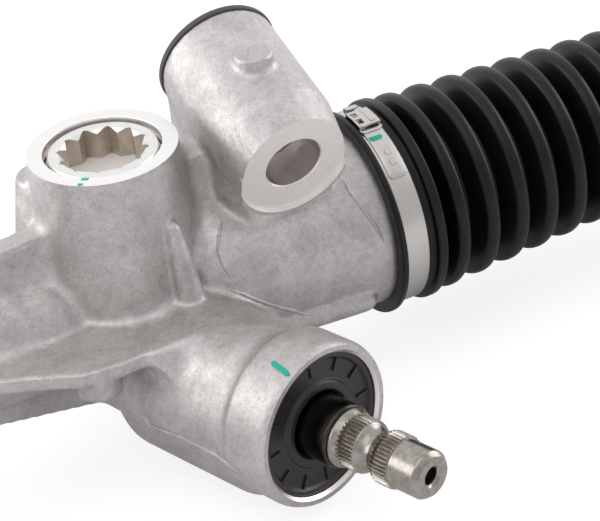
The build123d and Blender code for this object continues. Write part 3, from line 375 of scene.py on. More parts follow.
def cut_metal(name, colour, roughness, scale=500, contrast=0.06, metallic=1.0):
    """Turned or pressed metal with faint, fine marks."""
    made = material(name, colour, metallic, roughness)
    marks = noise_of(made, scale, 3, 0.6)
    low = tuple(c * (1 - contrast) for c in colour)
    paint(
        made,
        ramp(made, marks, [(0.3, low), (0.7, colour)]),
        ramp(made, marks, [(0.3, roughness * 0.94), (0.7, roughness * 1.08)]),
    )
    bump(made, [(marks, 0.08, 0.012)])
    return made


def rubber(name, colour, roughness, **sockets):
    """Rubber, plastic or paint with a little dust and a fine grain."""
    made = material(name, colour, 0.0, roughness, **sockets)
    dust = noise_of(made, 45, 5, 0.65)
    fine = noise_of(made, 900, 4, 0.6)
    paint(
        made,
        ramp(made, dust, [(0.35, colour), (0.75, tuple(c * 1.5 + 0.002 for c in colour))]),
        ramp(made, dust, [(0.3, roughness * 0.88), (0.7, roughness * 1.15)]),
    )
    bump(made, [(fine, 0.3, 0.04)])
    return made


CAST = cast_metal()
CUT = cut_metal("cut_aluminium", (1.0, 0.94, 0.93), 0.33)
# Brighter, partly diffuse copy of the cut aluminium for the face of the yoke boss and the walls of the spot
# faces: a painted highlight
RIM_PAINTED_HIGHLIGHT = cut_metal("rim_aluminium", (1.0, 0.99, 0.985), 0.3, metallic=0.7)
PLUG = cut_metal("plug_metal", (0.9, 0.91, 0.88), 0.32)
SOCKET = cut_metal("socket_metal", (0.7, 0.63, 0.55), 0.42, 300, 0.3)
STEEL = cut_metal("shaft_steel", (0.46, 0.425, 0.39), 0.25, 500, 0.35)
GREASED = cut_metal("greased_steel", (0.09, 0.085, 0.08), 0.16, 160, 0.6)
# Near-white, almost non-metallic copy of the plug metal for the floor of the socket: painted light in a
# shaded recess
SOCKET_FLOOR_PAINTED_LIGHT = material("socket_floor", (0.93, 0.9, 0.86), 0.1, 0.5)
BAND = cut_metal("stainless_strip", (0.68, 0.65, 0.63), 0.31, 700)
ZINC = cut_metal("zinc_plated", (0.6, 0.58, 0.56), 0.36)
DARK_STEEL = cut_metal("phosphated_steel", (0.16, 0.16, 0.165), 0.45)
BOOT = rubber("boot_rubber", (0.0024, 0.0022, 0.0022), 0.32, specular_ior_level=0.34)
SEAL = rubber("seal_rubber", (0.018, 0.016, 0.016), 0.34)
BUSH = rubber("bush_rubber", (0.07, 0.07, 0.07), 0.6)
PLASTIC = rubber("bearing_plastic", (0.6, 0.57, 0.5), 0.45)
GREEN = rubber("paint_mark", (0.006, 0.36, 0.26), 0.5)


# Housing: the cast form, remeshed and smoothed, then its machined faces and bores

SHELF_CORNER = (-12, -43.7)


def large_forms(bm):
    """Tube, bosses, barrel, webs and shelf, whose inner corners are filled in the mould."""
    shoulder, far_shoulder = NEAR_END - NECK, -FAR_END + NECK
    lathe(bm, RACK, rounded([
        (-FAR_END - 1, 0), (-FAR_END - 1, 30), (far_shoulder, 30), (far_shoulder, 31),
        (far_shoulder + 23, 29.5), (far_shoulder + 57, 20), (-30, 20), (-26, 19.3), (-22, 17.6), (15.4, 17.6),
        (16.9, 24.5), (22.9, 27.1), (26.9, 28.3), (shoulder, 31), (shoulder, 30), (NEAR_END + 1, 30),
        (NEAR_END + 1, 0)], 2), 160)
    lathe(bm, BENCH, [(-4, 0), (-4, 26), (BOSS_TOP + 1.5, 23.9), (BOSS_TOP + 1.5, 0)], 160)
    lathe(bm, PINION, rounded([
        (-40, 0), (-40, 13), (-36, 16), (-8, 23), (60, 25), (66, 24.4), (67.6, 24.5), (68.4, 26.9),
        (BARREL_FACE - 2, 27.1), (BARREL_FACE + 0.4, 26.0),
        (BARREL_FACE + 1.5, 25.2), (BARREL_FACE + 1.5, 0)], 1.2), 160)
    belly = PINION.copy()
    belly.translation.z -= 3
    lathe(bm, belly, rounded([
        (12, 0), (12, 18.5), (15, 23.5), (22, 26.5), (68, 26.5), (73, 24.0), (73, 0)], 2), 160)
    for side in MOUNTS:
        lathe(bm, MOUNT[side], [
            (-17, 0), (-17, BOSS_RADIUS), (-BOSS_LENGTH - 1, BOSS_RADIUS), (-BOSS_LENGTH - 1, 0)], 128)
    # Web to the mounting boss and the upright rib to the far side
    box(bm, BENCH, (5, -6, 0), (46.6, 6, 44))
    side_view = axes(CROSS + Vector((0, 3, 0)), (0, -1, 0), (1, 0, 0))
    prism(bm, side_view, [(0, 0), (0, 36), (-47.8, 33.5), (-120, 18), (-120, 0)], 0, 8)
    # Shelf beside the barrel and keel under the tube
    prism(bm, BENCH, [
        (0, -30), SHELF_CORNER, (-21.4, -44), (-32.3, -43), (-44.6, -35.8), (-55.5, -30.2), (-95, -18),
        (-95, 0), (0, 0)], 1, 6)
    keel = axes(CROSS + Vector((0, 6, 0)), (0, -1, 0), (1, 0, 0))
    prism(bm, keel, [(0, 0), (0, -33), (-10, -33), (-105, -18), (-105, 0)], 0, 12)
    # The corner of the shelf runs out on the side of the barrel
    flank = [
        PINION @ Vector((24.3 * math.cos(t), 24.3 * math.sin(t), along))
        for along in (30, 46) for t in np.linspace(0.2, 1.1, 8)]
    hull(bm, flank + [CROSS + Vector((*SHELF_CORNER, z)) for z in (4, 6)])


RIB_ANGLE = 212                             # degrees about the tube, from the far side over the top


def half_round(half, radius):
    """The lower half of a circle with its sides cut straight."""
    lower = math.acos(half / radius)
    turns = np.linspace(-lower, lower - math.pi, 48)
    return [(-half, 0), (half, 0)] + [(radius * math.cos(t), radius * math.sin(t)) for t in turns]


def crisp_forms(bm):
    """Lug, skirts, ridge, rib and pads, which stand out of the large forms with small corners."""
    lug = axes(CROSS + Vector((-18, 10, 0)), *UPRIGHT)
    lathe(bm, lug, rounded([(0, 0), (0, 11.8), (25, 11.6), (47.5, 7.9), (47.5, 0)], 1.2), 48)
    arc = half_round(17.8, 19.8)
    for side, centre in MOUNTS.items():
        lathe(bm, MOUNT[side], [
            (1.5, 0), (1.5, 17.6), (0, 17.6), (-12, BOSS_RADIUS), (-18, BOSS_RADIUS), (-18, 0)], 128)
        prism(bm, MOUNT[side], arc, -12, 0.5)
        # The skirt stands on the tube and reaches up to the axis of the bore
        front, back = SPOT_RADIUS * math.sin(DIP) + 1.6, BOSS_LENGTH * math.cos(DIP)
        plan = [(-13.6, front), (-17.4, front + 6), (-20, front + 16), (-20, back),
                (20, back), (20, front + 16), (17.4, front + 4), (14.6, front)]
        hull(bm, [centre + Vector((x, y, z)) for x, y in plan for z in (CROSS.z, y * math.tan(DIP))])
    # The left end of the bell, a slanted flat beside the ridge
    flat = [(24.3, -9.3, 26.6), (18.4, -13.6, 14.6), (18.8, -21.3, 8.3), (24.3, -27.2, 8.4),
            (24.1, -24.1, 13.3), (27.4, -18.2, 22.2), (30.5, -16.5, 23.2), (30.5, -26.5, 9), (28, -6, 6),
            (24, -8, 4)]
    hull(bm, [CROSS + Vector(place) for place in flat])
    capsule(bm, CROSS + Vector((11.9, -26.0, 4)), CROSS + Vector((9.7, -24.2, 33)), 5.1, 2.7)
    turn = math.radians(RIB_ANGLE)
    rib = Vector((0, math.cos(turn), math.sin(turn)))
    start, end = Vector((24.9, 0, 0)) + rib * 27.9, Vector((70.9, 0, 0)) + rib * 30.4
    capsule(bm, CROSS + start, CROSS + end, 4.2, 4.2)
    # Round pads of the ejector pins: on the mounting boss, under the shelf and under the barrel
    for place, radius, height in (
        (MOUNT_DIR * -22 + Vector((0, 0, 18.5)), 6.4, 5.0),
        (CROSS + Vector((-26.4, -36.4, -6)), 7.2, 8),
        (PINION_AT + PINION_DIR * 66 - Vector((0, 0, 30.9)), 5.2, 12),
    ):
        pad = [(0, 0), (0, radius), (height, radius), (height, 0)]
        lathe(bm, axes(place, *UPRIGHT), rounded(pad, 0.4), 48)


HOLLOW_GAIN = 4e5                           # how soon a slightly hollow place counts as an inner corner
CRISP_CORNERS = [(CROSS + Vector(place), radius) for place, radius in (
    ((19, -20, 15), 7), ((36, -17, 22), 11), ((51, -18, 22), 11), ((66, -17, 22), 11), ((-25, -19, 5), 13))]


def smoothed(mesh, rounds, hollow_rounds, crisp=()):
    """Smooths a mesh, and goes on longer where it is hollow, so that inner corners fill as cast ones do.

    Round the crisp places, given with their radius, the inner corners stay as they are.
    """
    count = len(mesh.vertices)
    places = np.empty(count * 3)
    mesh.vertices.foreach_get("co", places)
    places = places.reshape(-1, 3)
    ends = np.empty(len(mesh.edges) * 2, int)
    mesh.edges.foreach_get("vertices", ends)
    a, b = ends.reshape(-1, 2).T
    degree = np.bincount(a, minlength=count) + np.bincount(b, minlength=count)

    def neighbours(values):
        total = np.empty_like(values)
        for k in range(values.shape[1]):
            total[:, k] = np.bincount(a, values[b, k], count) + np.bincount(b, values[a, k], count)
        return total / degree[:, None]

    for _ in range(rounds):
        places += 0.5 * (neighbours(places) - places)
    mesh.vertices.foreach_set("co", places.ravel())
    mesh.update()
    normals = np.empty(count * 3)
    mesh.vertices.foreach_get("normal", normals)
    normals = normals.reshape(-1, 3)
    free = np.ones(count)
    for place, radius in crisp:
        away = np.linalg.norm(places - np.array(place * MM), axis=1) / MM
        free = np.minimum(free, np.clip((away - radius) / 5, 0, 1))
    for _ in range(hollow_rounds):
        step = neighbours(places) - places
        outward = (step * normals).sum(1)
        hollow = np.clip(neighbours(outward[:, None])[:, 0] * HOLLOW_GAIN, 0, 1)
        places += step * (0.6 * hollow * free)[:, None]
    mesh.vertices.foreach_set("co", places.ravel())
    mesh.update()


def remeshed(obj, size):
    """Joins the overlapping forms of an object into one skin of even squares."""
    voxels = obj.modifiers.new("voxels", "REMESH")
    voxels.mode, voxels.voxel_size, voxels.adaptivity = "VOXEL", size * MM, 0.0
    applied(obj)


bm = bmesh.new()
large_forms(bm)
casting = object_of("housing_casting", bm, [CAST, CUT, GREEN, RIM_PAINTED_HIGHLIGHT])
remeshed(casting, COARSE)
smoothed(casting.data, 1, 22, CRISP_CORNERS)
bm = bmesh.new()
bm.from_mesh(casting.data)
large_forms(bm)
crisp_forms(bm)
bmesh.ops.recalc_face_normals(bm, faces=bm.faces)
bm.to_mesh(casting.data)
bm.free()
remeshed(casting, FINE)
smoothed(casting.data, 4, 4)


def bored(matrix, profile, steps, slot=SLOT_CUT):
    """Turns a profile out of the casting."""
    cut(casting, lambda bm: lathe(bm, matrix, profile, steps), slot)


# The face of the yoke boss takes the rim material, a painted highlight
bored(BENCH, [(BOSS_TOP, 0), (BOSS_TOP, 30), (BOSS_TOP + 9, 30), (BOSS_TOP + 9, 0)], 96, SLOT_PAINTED_HIGHLIGHT)
bored(PINION, [
    (BARREL_FACE, 0), (BARREL_FACE, 34), (BARREL_FACE + 9, 34), (BARREL_FACE + 9, 0)], 96, SLOT_CAST)
bored(BENCH, [
    (4, 0), (4, 16), (YOKE_SEAT, 16), (YOKE_SEAT, 18.5), (BOSS_TOP - 0.2, 18.8), (BOSS_TOP + 1, 20.0),
    (BOSS_TOP + 1, 0)], 128)
bored(PINION, [
    (-32, 0), (-32, 8.5), (-20, 8.5), (-20, 12), (54, 12), (54, 16), (62, 16), (62, BARREL_BORE),
    (BARREL_FACE - 1.0, BARREL_BORE), (BARREL_FACE + 1, BARREL_BORE + 2), (BARREL_FACE + 1, 0)], 128)
for face in MOUNT.values():
    # A raised lip round the lower half of the spot face, then the face, its wall in the rim slot, whose
    # brighter aluminium is a painted highlight
    cut(casting, lambda bm: prism(bm, face, half_round(18.1, 20.4), -5, 1.2), SLOT_CAST, "UNION")
    bored(face, [(0, 0), (0, SPOT_RADIUS), (12, SPOT_RADIUS), (12, 0)], 128)
    to_face = face.inverted()
    for polygon in casting.data.polygons:
        place = to_face @ (polygon.center / MM)
        on_wall = place.z > 0.05 and abs(place.xy.length - SPOT_RADIUS) < 0.1
        if polygon.material_index == SLOT_CUT and on_wall:
            polygon.material_index = SLOT_PAINTED_HIGHLIGHT
    bored(face, [(-14, 0), (-14, MOUNT_BORE), (-0.4, MOUNT_BORE), (0.6, MOUNT_BORE + 1), (0.6, 0)], 96)
    bored(face, [
        (-BOSS_LENGTH - 9, 0), (-BOSS_LENGTH - 9, 30), (-BOSS_LENGTH, 30), (-BOSS_LENGTH, 16.5), (-14, 16.5),
        (-14, 0)], 96)
bored(RACK, [
    (-FAR_END - 5, 0), (-FAR_END - 5, 40), (-FAR_END, 40), (-FAR_END, 25), (-386, 25), (-386, 16.5),
    (-360, 16.5), (-360, 14.5), (NEAR_END - 14, 14.5), (NEAR_END - 14, 25), (NEAR_END, 25), (NEAR_END, 40),
    (NEAR_END + 5, 40), (NEAR_END + 5, 0)], 96)


def flash(target, places, radius=0.7, steps=8):
    """A thin parting line of the mould, which follows an object's surface through given places."""
    tree = BVHTree.FromObject(target, bpy.context.evaluated_depsgraph_get())
    line = []
    for start, end in zip(places, places[1:]):
        for step in range(steps):
            guess = CROSS + Vector(start).lerp(Vector(end), step / steps)
            place, normal, _, _ = tree.find_nearest(guess * MM)
            line.append((place / MM - normal * 0.25 * radius, normal))
    rings = []
    for index, (place, normal) in enumerate(line):
        ahead = line[min(index + 1, len(line) - 1)][0] - line[max(index - 1, 0)][0]
        across = ahead.cross(normal).normalized()
        size = radius * (0.35 + 0.65 * min(1, index / 5, (len(line) - 1 - index) / 5))
        size *= 1 + 0.14 * math.sin(index * 1.7)
        turns = np.linspace(0, math.tau, 8, False)
        rings.append([place + (across * math.cos(t) + normal * math.sin(t)) * size for t in turns])
    cut(target, lambda bm: skin(bm, rings), SLOT_CAST, "UNION")


# Left end of the bell, foot of the bell, right part of the bell, under the barrel
FLASH_LINES = [
    [(29.8, -15.5, 23.9), (27.0, -18.4, 21.5), (24.9, -21.0, 18.1), (24.7, -23.3, 14.8), (26.2, -26.9, 7.9)],
    [(24.0, -26.7, 6.4), (31.8, -28.5, 0.5), (38.4, -28.4, -4.4), (45.4, -27.5, -9.6), (53.0, -25.2, -16.2)],
    [(72.0, -17.8, 24.8), (72.4, -21.3, 21.8), (74.1, -25.3, 17.2), (76.4, -28.5, 11.5), (78.2, -30.5, 4.3)],
    [(-15.1, -38.1, -18.7), (-14.0, -41.0, -21.3), (-9.6, -54.2, -20.0), (-4.7, -68.8, -20.2),
     (-0.3, -79.5, -24.0)],
]
for places in FLASH_LINES:
    flash(casting, places)

# Green inspection marks, on the rim of the yoke boss and on the barrel; angles in degrees
bm = bmesh.new()
bm.from_mesh(casting.data)
old_faces = len(bm.faces)
DAB_ANGLE = 231
dab = BENCH @ Matrix.Rotation(math.radians(DAB_ANGLE), 4, "Z")
prism(bm, dab, [(18.9, -1.2), (20.5, -1.2), (20.4, 1.1), (18.9, 1.2)], BOSS_TOP - 0.4, BOSS_TOP + 0.03)
prism(bm, dab, [(22.2, -1.5), (23.8, -1.3), (23.7, 0.2), (22.3, 0.3)], BOSS_TOP - 0.1, BOSS_TOP + 0.02)
DASH_AT, DASH_LENGTH, DASH_ANGLE, DASH_LEAN = 76.0, 8.4, 20.5, 3.0
rings = []
for t in np.linspace(0, 1, 17):
    along, turn = DASH_AT + DASH_LENGTH * t, math.radians(DASH_ANGLE + DASH_LEAN * t)
    half = 0.034 * math.sqrt(1 - 0.9 * (2 * t - 1) ** 6)
    rings.append([
        PINION @ Vector((r * math.cos(turn + side), r * math.sin(turn + side), along))
        for r, side in ((26.6, -half), (27.3, -half), (27.32, 0), (27.3, half), (26.6, half))])
skin(bm, rings)
painted(bm, old_faces, SLOT_PAINT)
bm.to_mesh(casting.data)
bm.free()
finish(casting, "housing", ["rack_housing"], 32)


# Yoke plug with its twelve-point socket

def star(point, hollow, count=12):
    """The outline of a twelve-point socket."""
    turns = [math.pi * i / count for i in range(2 * count)]
    return [(r * math.cos(t), r * math.sin(t)) for r, t in zip([point, hollow] * count, turns)]


PLUG_FACE = BOSS_TOP - 1.0
SOCKET_FLOOR = PLUG_FACE - 9.7
SLOT_PLUG, SLOT_SOCKET, SLOT_FLOOR_PAINTED_LIGHT = 0, 1, 2
bm = bmesh.new()
lathe(bm, BENCH, [
    (YOKE_SEAT, 0), (YOKE_SEAT, 18.3), (PLUG_FACE - 3, 18.3), (PLUG_FACE - 2.4, 17.6),
    (PLUG_FACE - 0.4, 17.5), (PLUG_FACE, 17.1), (PLUG_FACE, 0)], 128)
plug = object_of("yoke_plug_detail", bm, [PLUG, SOCKET, SOCKET_FLOOR_PAINTED_LIGHT])
cut(plug, lambda bm: prism(bm, BENCH, star(14.8, 12.3), SOCKET_FLOOR, PLUG_FACE + 2), SLOT_SOCKET)
cut(plug, lambda bm: lathe(bm, BENCH, [
    (PLUG_FACE - 1.1, 0), (PLUG_FACE - 1.1, 12.4), (PLUG_FACE + 0.6, 14.6), (PLUG_FACE + 0.6, 0)], 96),
    SLOT_PLUG)
cut(plug, lambda bm: lathe(bm, BENCH, [(40, 0), (40, 9.6), (43.2, 9.6), (43.2, 0)], 64), SLOT_SOCKET)
# The upward faces at the socket floor take the near-white material: painted light
floor_height = (BENCH @ Vector((0, 0, SOCKET_FLOOR))).z * MM
for face in plug.data.polygons:
    if face.normal.z > 0.9 and abs(face.center.z - floor_height) < 0.0002:
        face.material_index = SLOT_FLOOR_PAINTED_LIGHT
finish(plug, "housing", ["yoke_plug"], 30)


# Pinion: its hidden part as in CAD, its free end turned and splined

def kept(node, point, normal):
    """A bmesh of the part of a CAD node behind a plane, open at the cut."""
    bm = bmesh.new()
    bm.from_mesh(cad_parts[node].data)
    bm.transform(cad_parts[node].matrix_world)
    bmesh.ops.remove_doubles(bm, verts=bm.verts, dist=1e-7)
    geometry = bm.verts[:] + bm.edges[:] + bm.faces[:]
    bmesh.ops.bisect_plane(bm, geom=geometry, plane_co=Vector(point) * MM, plane_no=normal, clear_outer=True)
    edges = [e for e in bm.edges if e.is_boundary]
    bmesh.ops.holes_fill(bm, edges=edges)
    return bm


SPLINES, SPLINE_ROOT, SPLINE_TEETH = ((97.9, 104.2), (111.4, 118.0)), 7.4, 36


def spline_wave(along, radius, turn):
    """Cuts spline grooves into the two splined bands of the shaft."""
    if any(start < along < end for start, end in SPLINES):
        return radius - (radius - SPLINE_ROOT) * (0.5 + 0.5 * math.cos(SPLINE_TEETH * turn)) ** 0.7
    return radius


CUT_AT = 72.0                               # where the turned free end takes over
bm = kept("pinion_shaft", PINION_AT + PINION_DIR * CUT_AT, PINION_DIR)
gears = object_of("pinion_hidden", bm, [STEEL])
finish(gears, "pinion")

bm = bmesh.new()
lathe(bm, PINION, rounded([
    (CUT_AT, 0), (CUT_AT, 12.4), (74, 12.4), (74, 10.2), (94.4, 10.2), (95, 9.6), (95.02, 0)], 0.5), 96)
collar = object_of("pinion_greased_collar", bm, [GREASED])
finish(collar, "pinion", ["pinion_shaft"])

bm = bmesh.new()
turned = rounded([(95, 0), (95, 9.5), (96, 9.5), (97.4, 8.9), (98.3, 8.5)], 0.5)
turned += [(98.5, 8.6), (99.2, 8.6), (101, 8.6), (103.0, 8.6), (103.5, 8.6)]
turned += rounded([(103.7, 8.5), (104.4, 8.3), (106.6, 6.8), (109.3, 6.6), (111.2, 8.1), (111.8, 8.4)], 1.5)
turned += [(112, 8.6), (113, 8.6), (116, 8.6), (117.3, 8.6), (117.5, 8.5)]
turned += rounded([
    (117.8, 7.8), (118.2, 7.8), (127.6, 7.8), (129.5, 6.3), (129.5, 3.7), (128.4, 2.6), (119.5, 2.6),
    (118, 0)], 0.5)
lathe(bm, PINION, turned, SPLINE_TEETH * 8, spline_wave)
shaft = object_of("pinion_free_end", bm, [STEEL])
finish(shaft, "pinion", sharp=30)


# Shaft seal: outer lip, flat face with ticks, raised ring round the shaft

SEAL_AT = BARREL_FACE - 1.6
bm = bmesh.new()
lathe(bm, PINION, rounded([
    (SEAL_AT - 7, 20), (SEAL_AT - 7, 23.48), (SEAL_AT, 23.48), (SEAL_AT, 21.9), (SEAL_AT - 1.2, 21.0),
    (SEAL_AT - 1.2, 14.6), (SEAL_AT + 0.1, 13.8), (SEAL_AT + 0.1, 11.6), (SEAL_AT - 1.4, 10.3),
    (SEAL_AT - 3.2, 10.3), (SEAL_AT - 3.2, 20), (SEAL_AT - 7, 20.001)], 0.45), 128)
for degrees in (2, 32, 62, 92, 122, 153, 182, 212, 240, 270, 300, 330):
    tick = PINION @ Matrix.Rotation(math.radians(degrees), 4, "Z")
    box(bm, tick, (17.0, -0.32, SEAL_AT - 1.5), (21.4, 0.32, SEAL_AT - 0.55))
seal = object_of("pinion_seal_detail", bm, [SEAL])
finish(seal, "housing", ["pinion_seal"])


# Mounting bushes: the dark flange with its seam

for side in MOUNTS:
    back = -BOSS_LENGTH
    bm = bmesh.new()
    lathe(bm, MOUNT[side], rounded([
        (-14, 9.25), (-14, 15.2), (back + 0.05, 15.2), (back + 0.05, 19.4), (back - 0.4, 19.4),
        (back - 0.6, 20.5), (back - 2.2, 20.5), (back - 3, 19.7), (back - 3, 12.6), (back - 2.4, 12.0),
        (back - 2.4, 9.25), (-14, 9.25)], 0.4), 96)
    bmesh.ops.remove_doubles(bm, verts=bm.verts, dist=1e-7)
    flange = object_of(f"mount_bush_flange_{side}", bm, [BUSH])
    finish(flange, "housing", [f"mount_bush_rubber_{side}"])


# Boots: bellows, each made in three pieces split at valleys

START, PITCH, RINGS, FIRST, SHOULDER = -18.08, 11.5, 11, 6.1, 1.6
SLEEVE = FIRST + (RINGS - 1) * PITCH + 15.0
WALL = 1.9
BAND_SEAT = 32.25                           # radius of the groove that holds the large band
SPLITS = (8, 9)                             # rings after whose valleys the boot is split into its next piece


def crest(ring):
    """The radius of a ring, less from one to the next."""
    return 33.8 - 0.54 * ring


def fold(ring, depth):
    """One convolution's outer or inner line, without its valleys."""
    middle, top = FIRST + ring * PITCH, crest(ring) - depth
    if depth:
        return [(middle - 1.2, top), (middle + 1.2, top)]
    return [(middle - 2.0, top), (middle + 2.0, top)]


def valley(ring):
    """The valley outboard of a ring: its place, outer and inner radius."""
    return FIRST + (ring + 0.5) * PITCH, crest(ring) - 8.5, crest(ring) - 10.3


def bellows(first, last, head, head_inner, tail, tail_inner):
    """A closed section from ring first to ring last, with its own ends."""
    outer = list(head)
    for ring in range(first, last + 1):
        outer += fold(ring, 0)
        if ring < last:
            place, out, _ = valley(ring)
            outer += [(place - 0.5, out), (place + 0.5, out)]
    outer += tail
    inner = list(head_inner)
    for ring in range(first, last + 1):
        inner += fold(ring, WALL)
        if ring < last:
            place, _, inside = valley(ring)
            inner += [(place, inside)]
    inner += tail_inner
    return rounded(outer, 2.3, 5) + list(reversed(rounded(inner, 1.2, 3)))


def ends_at(ring):
    """The outer and inner line up to the valley after a ring."""
    place, out, inside = valley(ring)
    return [(place - 0.4, out), (place, out)], [(place, inside)]


def starts_at(ring):
    """The outer and inner line on from the valley after a ring."""
    place, out, inside = valley(ring)
    return [(place, out), (place + 0.4, out)], [(place, inside)]


HEAD = [(START, 30.05), (START, 34.6), (START + 0.4, 35.0), (START + 2.2, 35.0), (START + 2.5, BAND_SEAT),
        (-4.5, BAND_SEAT), (-4.3, 34.2), (-3.9, 34.6), (-1.2, 34.6), (-0.6, 33.4), (0.4, 31.4), (1.0, 27.5),
        (SHOULDER, 25.6)]
HEAD_INNER = [(START, 30.05), (0.05, 30.05), (0.05, 25.2), (2.4, 23.6)]
for side in OUT:
    tail, tail_in = ends_at(SPLITS[0])
    pieces = [("a", 0, SPLITS[0], HEAD, HEAD_INNER, tail, tail_in)]
    head, head_in = starts_at(SPLITS[0])
    tail, tail_in = ends_at(SPLITS[1])
    pieces.append(("b", SPLITS[0] + 1, SPLITS[1], head, head_in, tail, tail_in))
    head, head_in = starts_at(SPLITS[1])
    sleeve = [(SLEEVE - 6.5, 22.5), (SLEEVE - 3, 12), (SLEEVE, 9.3), (SLEEVE + 0.6, 9.9), (SLEEVE + 1.2, 9.3),
              (SLEEVE + 8, 9.3), (SLEEVE + 8.3, 10), (SLEEVE + 9, 10), (SLEEVE + 9, 7.0)]
    sleeve_in = [(SLEEVE - 7.5, 20.5), (SLEEVE - 3.4, 9.8), (SLEEVE, 7.0), (SLEEVE + 9, 7.0)]
    pieces.append(("c", SPLITS[1] + 1, RINGS - 1, head, head_in, sleeve, sleeve_in))
    for part, first, last, *lines in pieces:
        bm = bmesh.new()
        lathe(bm, END[side], bellows(first, last, *lines), 128, loop=True)
        bmesh.ops.remove_doubles(bm, verts=bm.verts, dist=1e-7)
        boot = object_of(f"boot_{side}_{part}", bm, [BOOT])
        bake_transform(boot)
        finish(boot, None, [f"boot_{side}"], sharp=50)


# Large band clamps: the band, its free end with two marks, and the buckle

BAND_LOW, BAND_HIGH = START + 2.85, START + 10.75
BAND_MIDDLE = (BAND_LOW + BAND_HIGH) / 2
BAND_TOP = 33.0
WAY = {"right": 1, "left": -1}              # sense of turning from the top towards the front


def strip(bm, side, turns, half, inner, outer, middle=BAND_MIDDLE, steps=32):
    """Part of a band between two angles from the top towards the front, its far corners rounded off."""
    rings = []
    for step in range(steps + 1):
        turn = turns[0] + (turns[1] - turns[0]) * step / steps
        left = min(1.0, (turns[1] - turn) / 1.6)
        width = half * (1 - 0.3 * (1 - left) ** 2)
        matrix = END[side] @ Matrix.Rotation(math.radians(turn) * WAY[side], 4, "Z")
        corners = [(inner, -width), (outer, -width), (outer, width), (inner, width)]
        rings.append([matrix @ Vector((radius, 0, middle + along)) for radius, along in corners])
    skin(bm, rings)


def stud(bm, side, turn, along, radius, height, base):
    """A small round mark pressed up out of a band."""
    matrix = END[side] @ Matrix.Rotation(math.radians(turn) * WAY[side], 4, "Z")
    centre = matrix @ Vector((base, 0, along))
    out = (matrix @ Vector((base + 1, 0, along))) - centre
    lathe(bm, axes(centre, out, OUT[side]), [
        (0, radius), (height, radius - 0.25), (height, radius - 0.7), (height * 0.3, 0)], 20)


for side in OUT:
    bm = bmesh.new()
    lathe(bm, END[side], rounded([
        (BAND_LOW, BAND_SEAT + 0.03), (BAND_HIGH, BAND_SEAT + 0.03), (BAND_HIGH, BAND_TOP),
        (BAND_LOW, BAND_TOP), (BAND_LOW, BAND_SEAT + 0.03)], 0.15, 2), 160)
    bmesh.ops.remove_doubles(bm, verts=bm.verts, dist=1e-7)
    # Free end of the strip with two plain marks
    strip(bm, side, (-10, 47), 3.2, BAND_TOP - 0.1, BAND_TOP + 0.7)
    for turn in (31, 37.5):
        stud(bm, side, turn, BAND_MIDDLE + 0.4, 1.4, 0.35, BAND_TOP + 0.65)
    # Buckle: base, two cheeks, hood with three bars, its raised middle and the hook
    strip(bm, side, (-13, 15), 3.9, BAND_TOP + 0.6, BAND_TOP + 1.1)
    for along in (-3.5, 3.5):
        strip(bm, side, (-4, 12), 0.4, BAND_TOP + 1.0, BAND_TOP + 2.4, BAND_MIDDLE + along)
    strip(bm, side, (-4, 12), 2.5, BAND_TOP + 1.8, BAND_TOP + 2.5, BAND_MIDDLE + 1.3)
    for turns in ((-4, -1.5), (2.5, 5), (9.5, 12)):
        strip(bm, side, turns, 3.85, BAND_TOP + 1.8, BAND_TOP + 2.48)
    strip(bm, side, (-3, 10), 1.0, BAND_TOP + 2.4, BAND_TOP + 2.75, BAND_MIDDLE + 1.8)
    strip(bm, side, (-12, -10.6), 2.2, BAND_TOP + 1.0, BAND_TOP + 2.4)
    strip(bm, side, (-12, -7), 2.2, BAND_TOP + 2.0, BAND_TOP + 2.5)
    # Green mark on the free end
    old_faces = len(bm.faces)
    strip(bm, side, (18.5, 22), 2.3, BAND_TOP + 0.6, BAND_TOP + 0.74, BAND_MIDDLE - 0.6)
    painted(bm, old_faces, 1)
    clamp = object_of(f"boot_clamp_detail_{side}", bm, [BAND, GREEN])
    bevel = clamp.modifiers.new("edges", "BEVEL")
    bevel.width, bevel.segments = 0.14 * MM, 2
    bevel.limit_method, bevel.angle_limit = "ANGLE", math.radians(40)
    applied(clamp)
    finish(clamp, "housing", [f"boot_clamp_{side}"], 40)


# Tie rods: CAD shape up to the thread, then a cut thread

def threaded(bm, matrix, start, end, root, top, pitch=1.5, steps=32):
    """A closed bar with a rolled thread round it."""
    count = int((end - start) / pitch * 6)
    rings = []
    for row in range(count + 1):
        along = start + (end - start) * row / count
        fade = min(1, (along - start) / 2, (end - along) / 1.5)
        ring = []
        for i in range(steps):
            phase = (along / pitch + i / steps) % 1
            height = max(0.0, min(1.0, 1.6 * (1 - abs(phase * 2 - 1)) - 0.2))
            radius = root + (top - root) * height
            radius -= (1 - fade) * 1.2
            turn = math.tau * i / steps
            ring.append(matrix @ Vector((radius * math.cos(turn), radius * math.sin(turn), along)))
        rings.append(ring)
    skin(bm, rings)


for side in OUT:
    thread_start = ROD_TIP - THREAD
    point = END[side] @ Vector((0, 0, thread_start - 0.5))
    bm = kept(f"tie_rod_{side}", point, OUT[side])
    rod = object_of(f"tie_rod_bar_{side}", bm, [DARK_STEEL])
    finish(rod, f"rod_{side}", [f"tie_rod_{side}"])
    bm = bmesh.new()
    threaded(bm, END[side], thread_start - 0.6, ROD_TIP, 6.15, 7.0)
    thread = object_of(f"tie_rod_thread_{side}", bm, [ZINC], 60)
    finish(thread, f"rod_{side}", sharp=60)


# CAD nodes that stay, with their materials

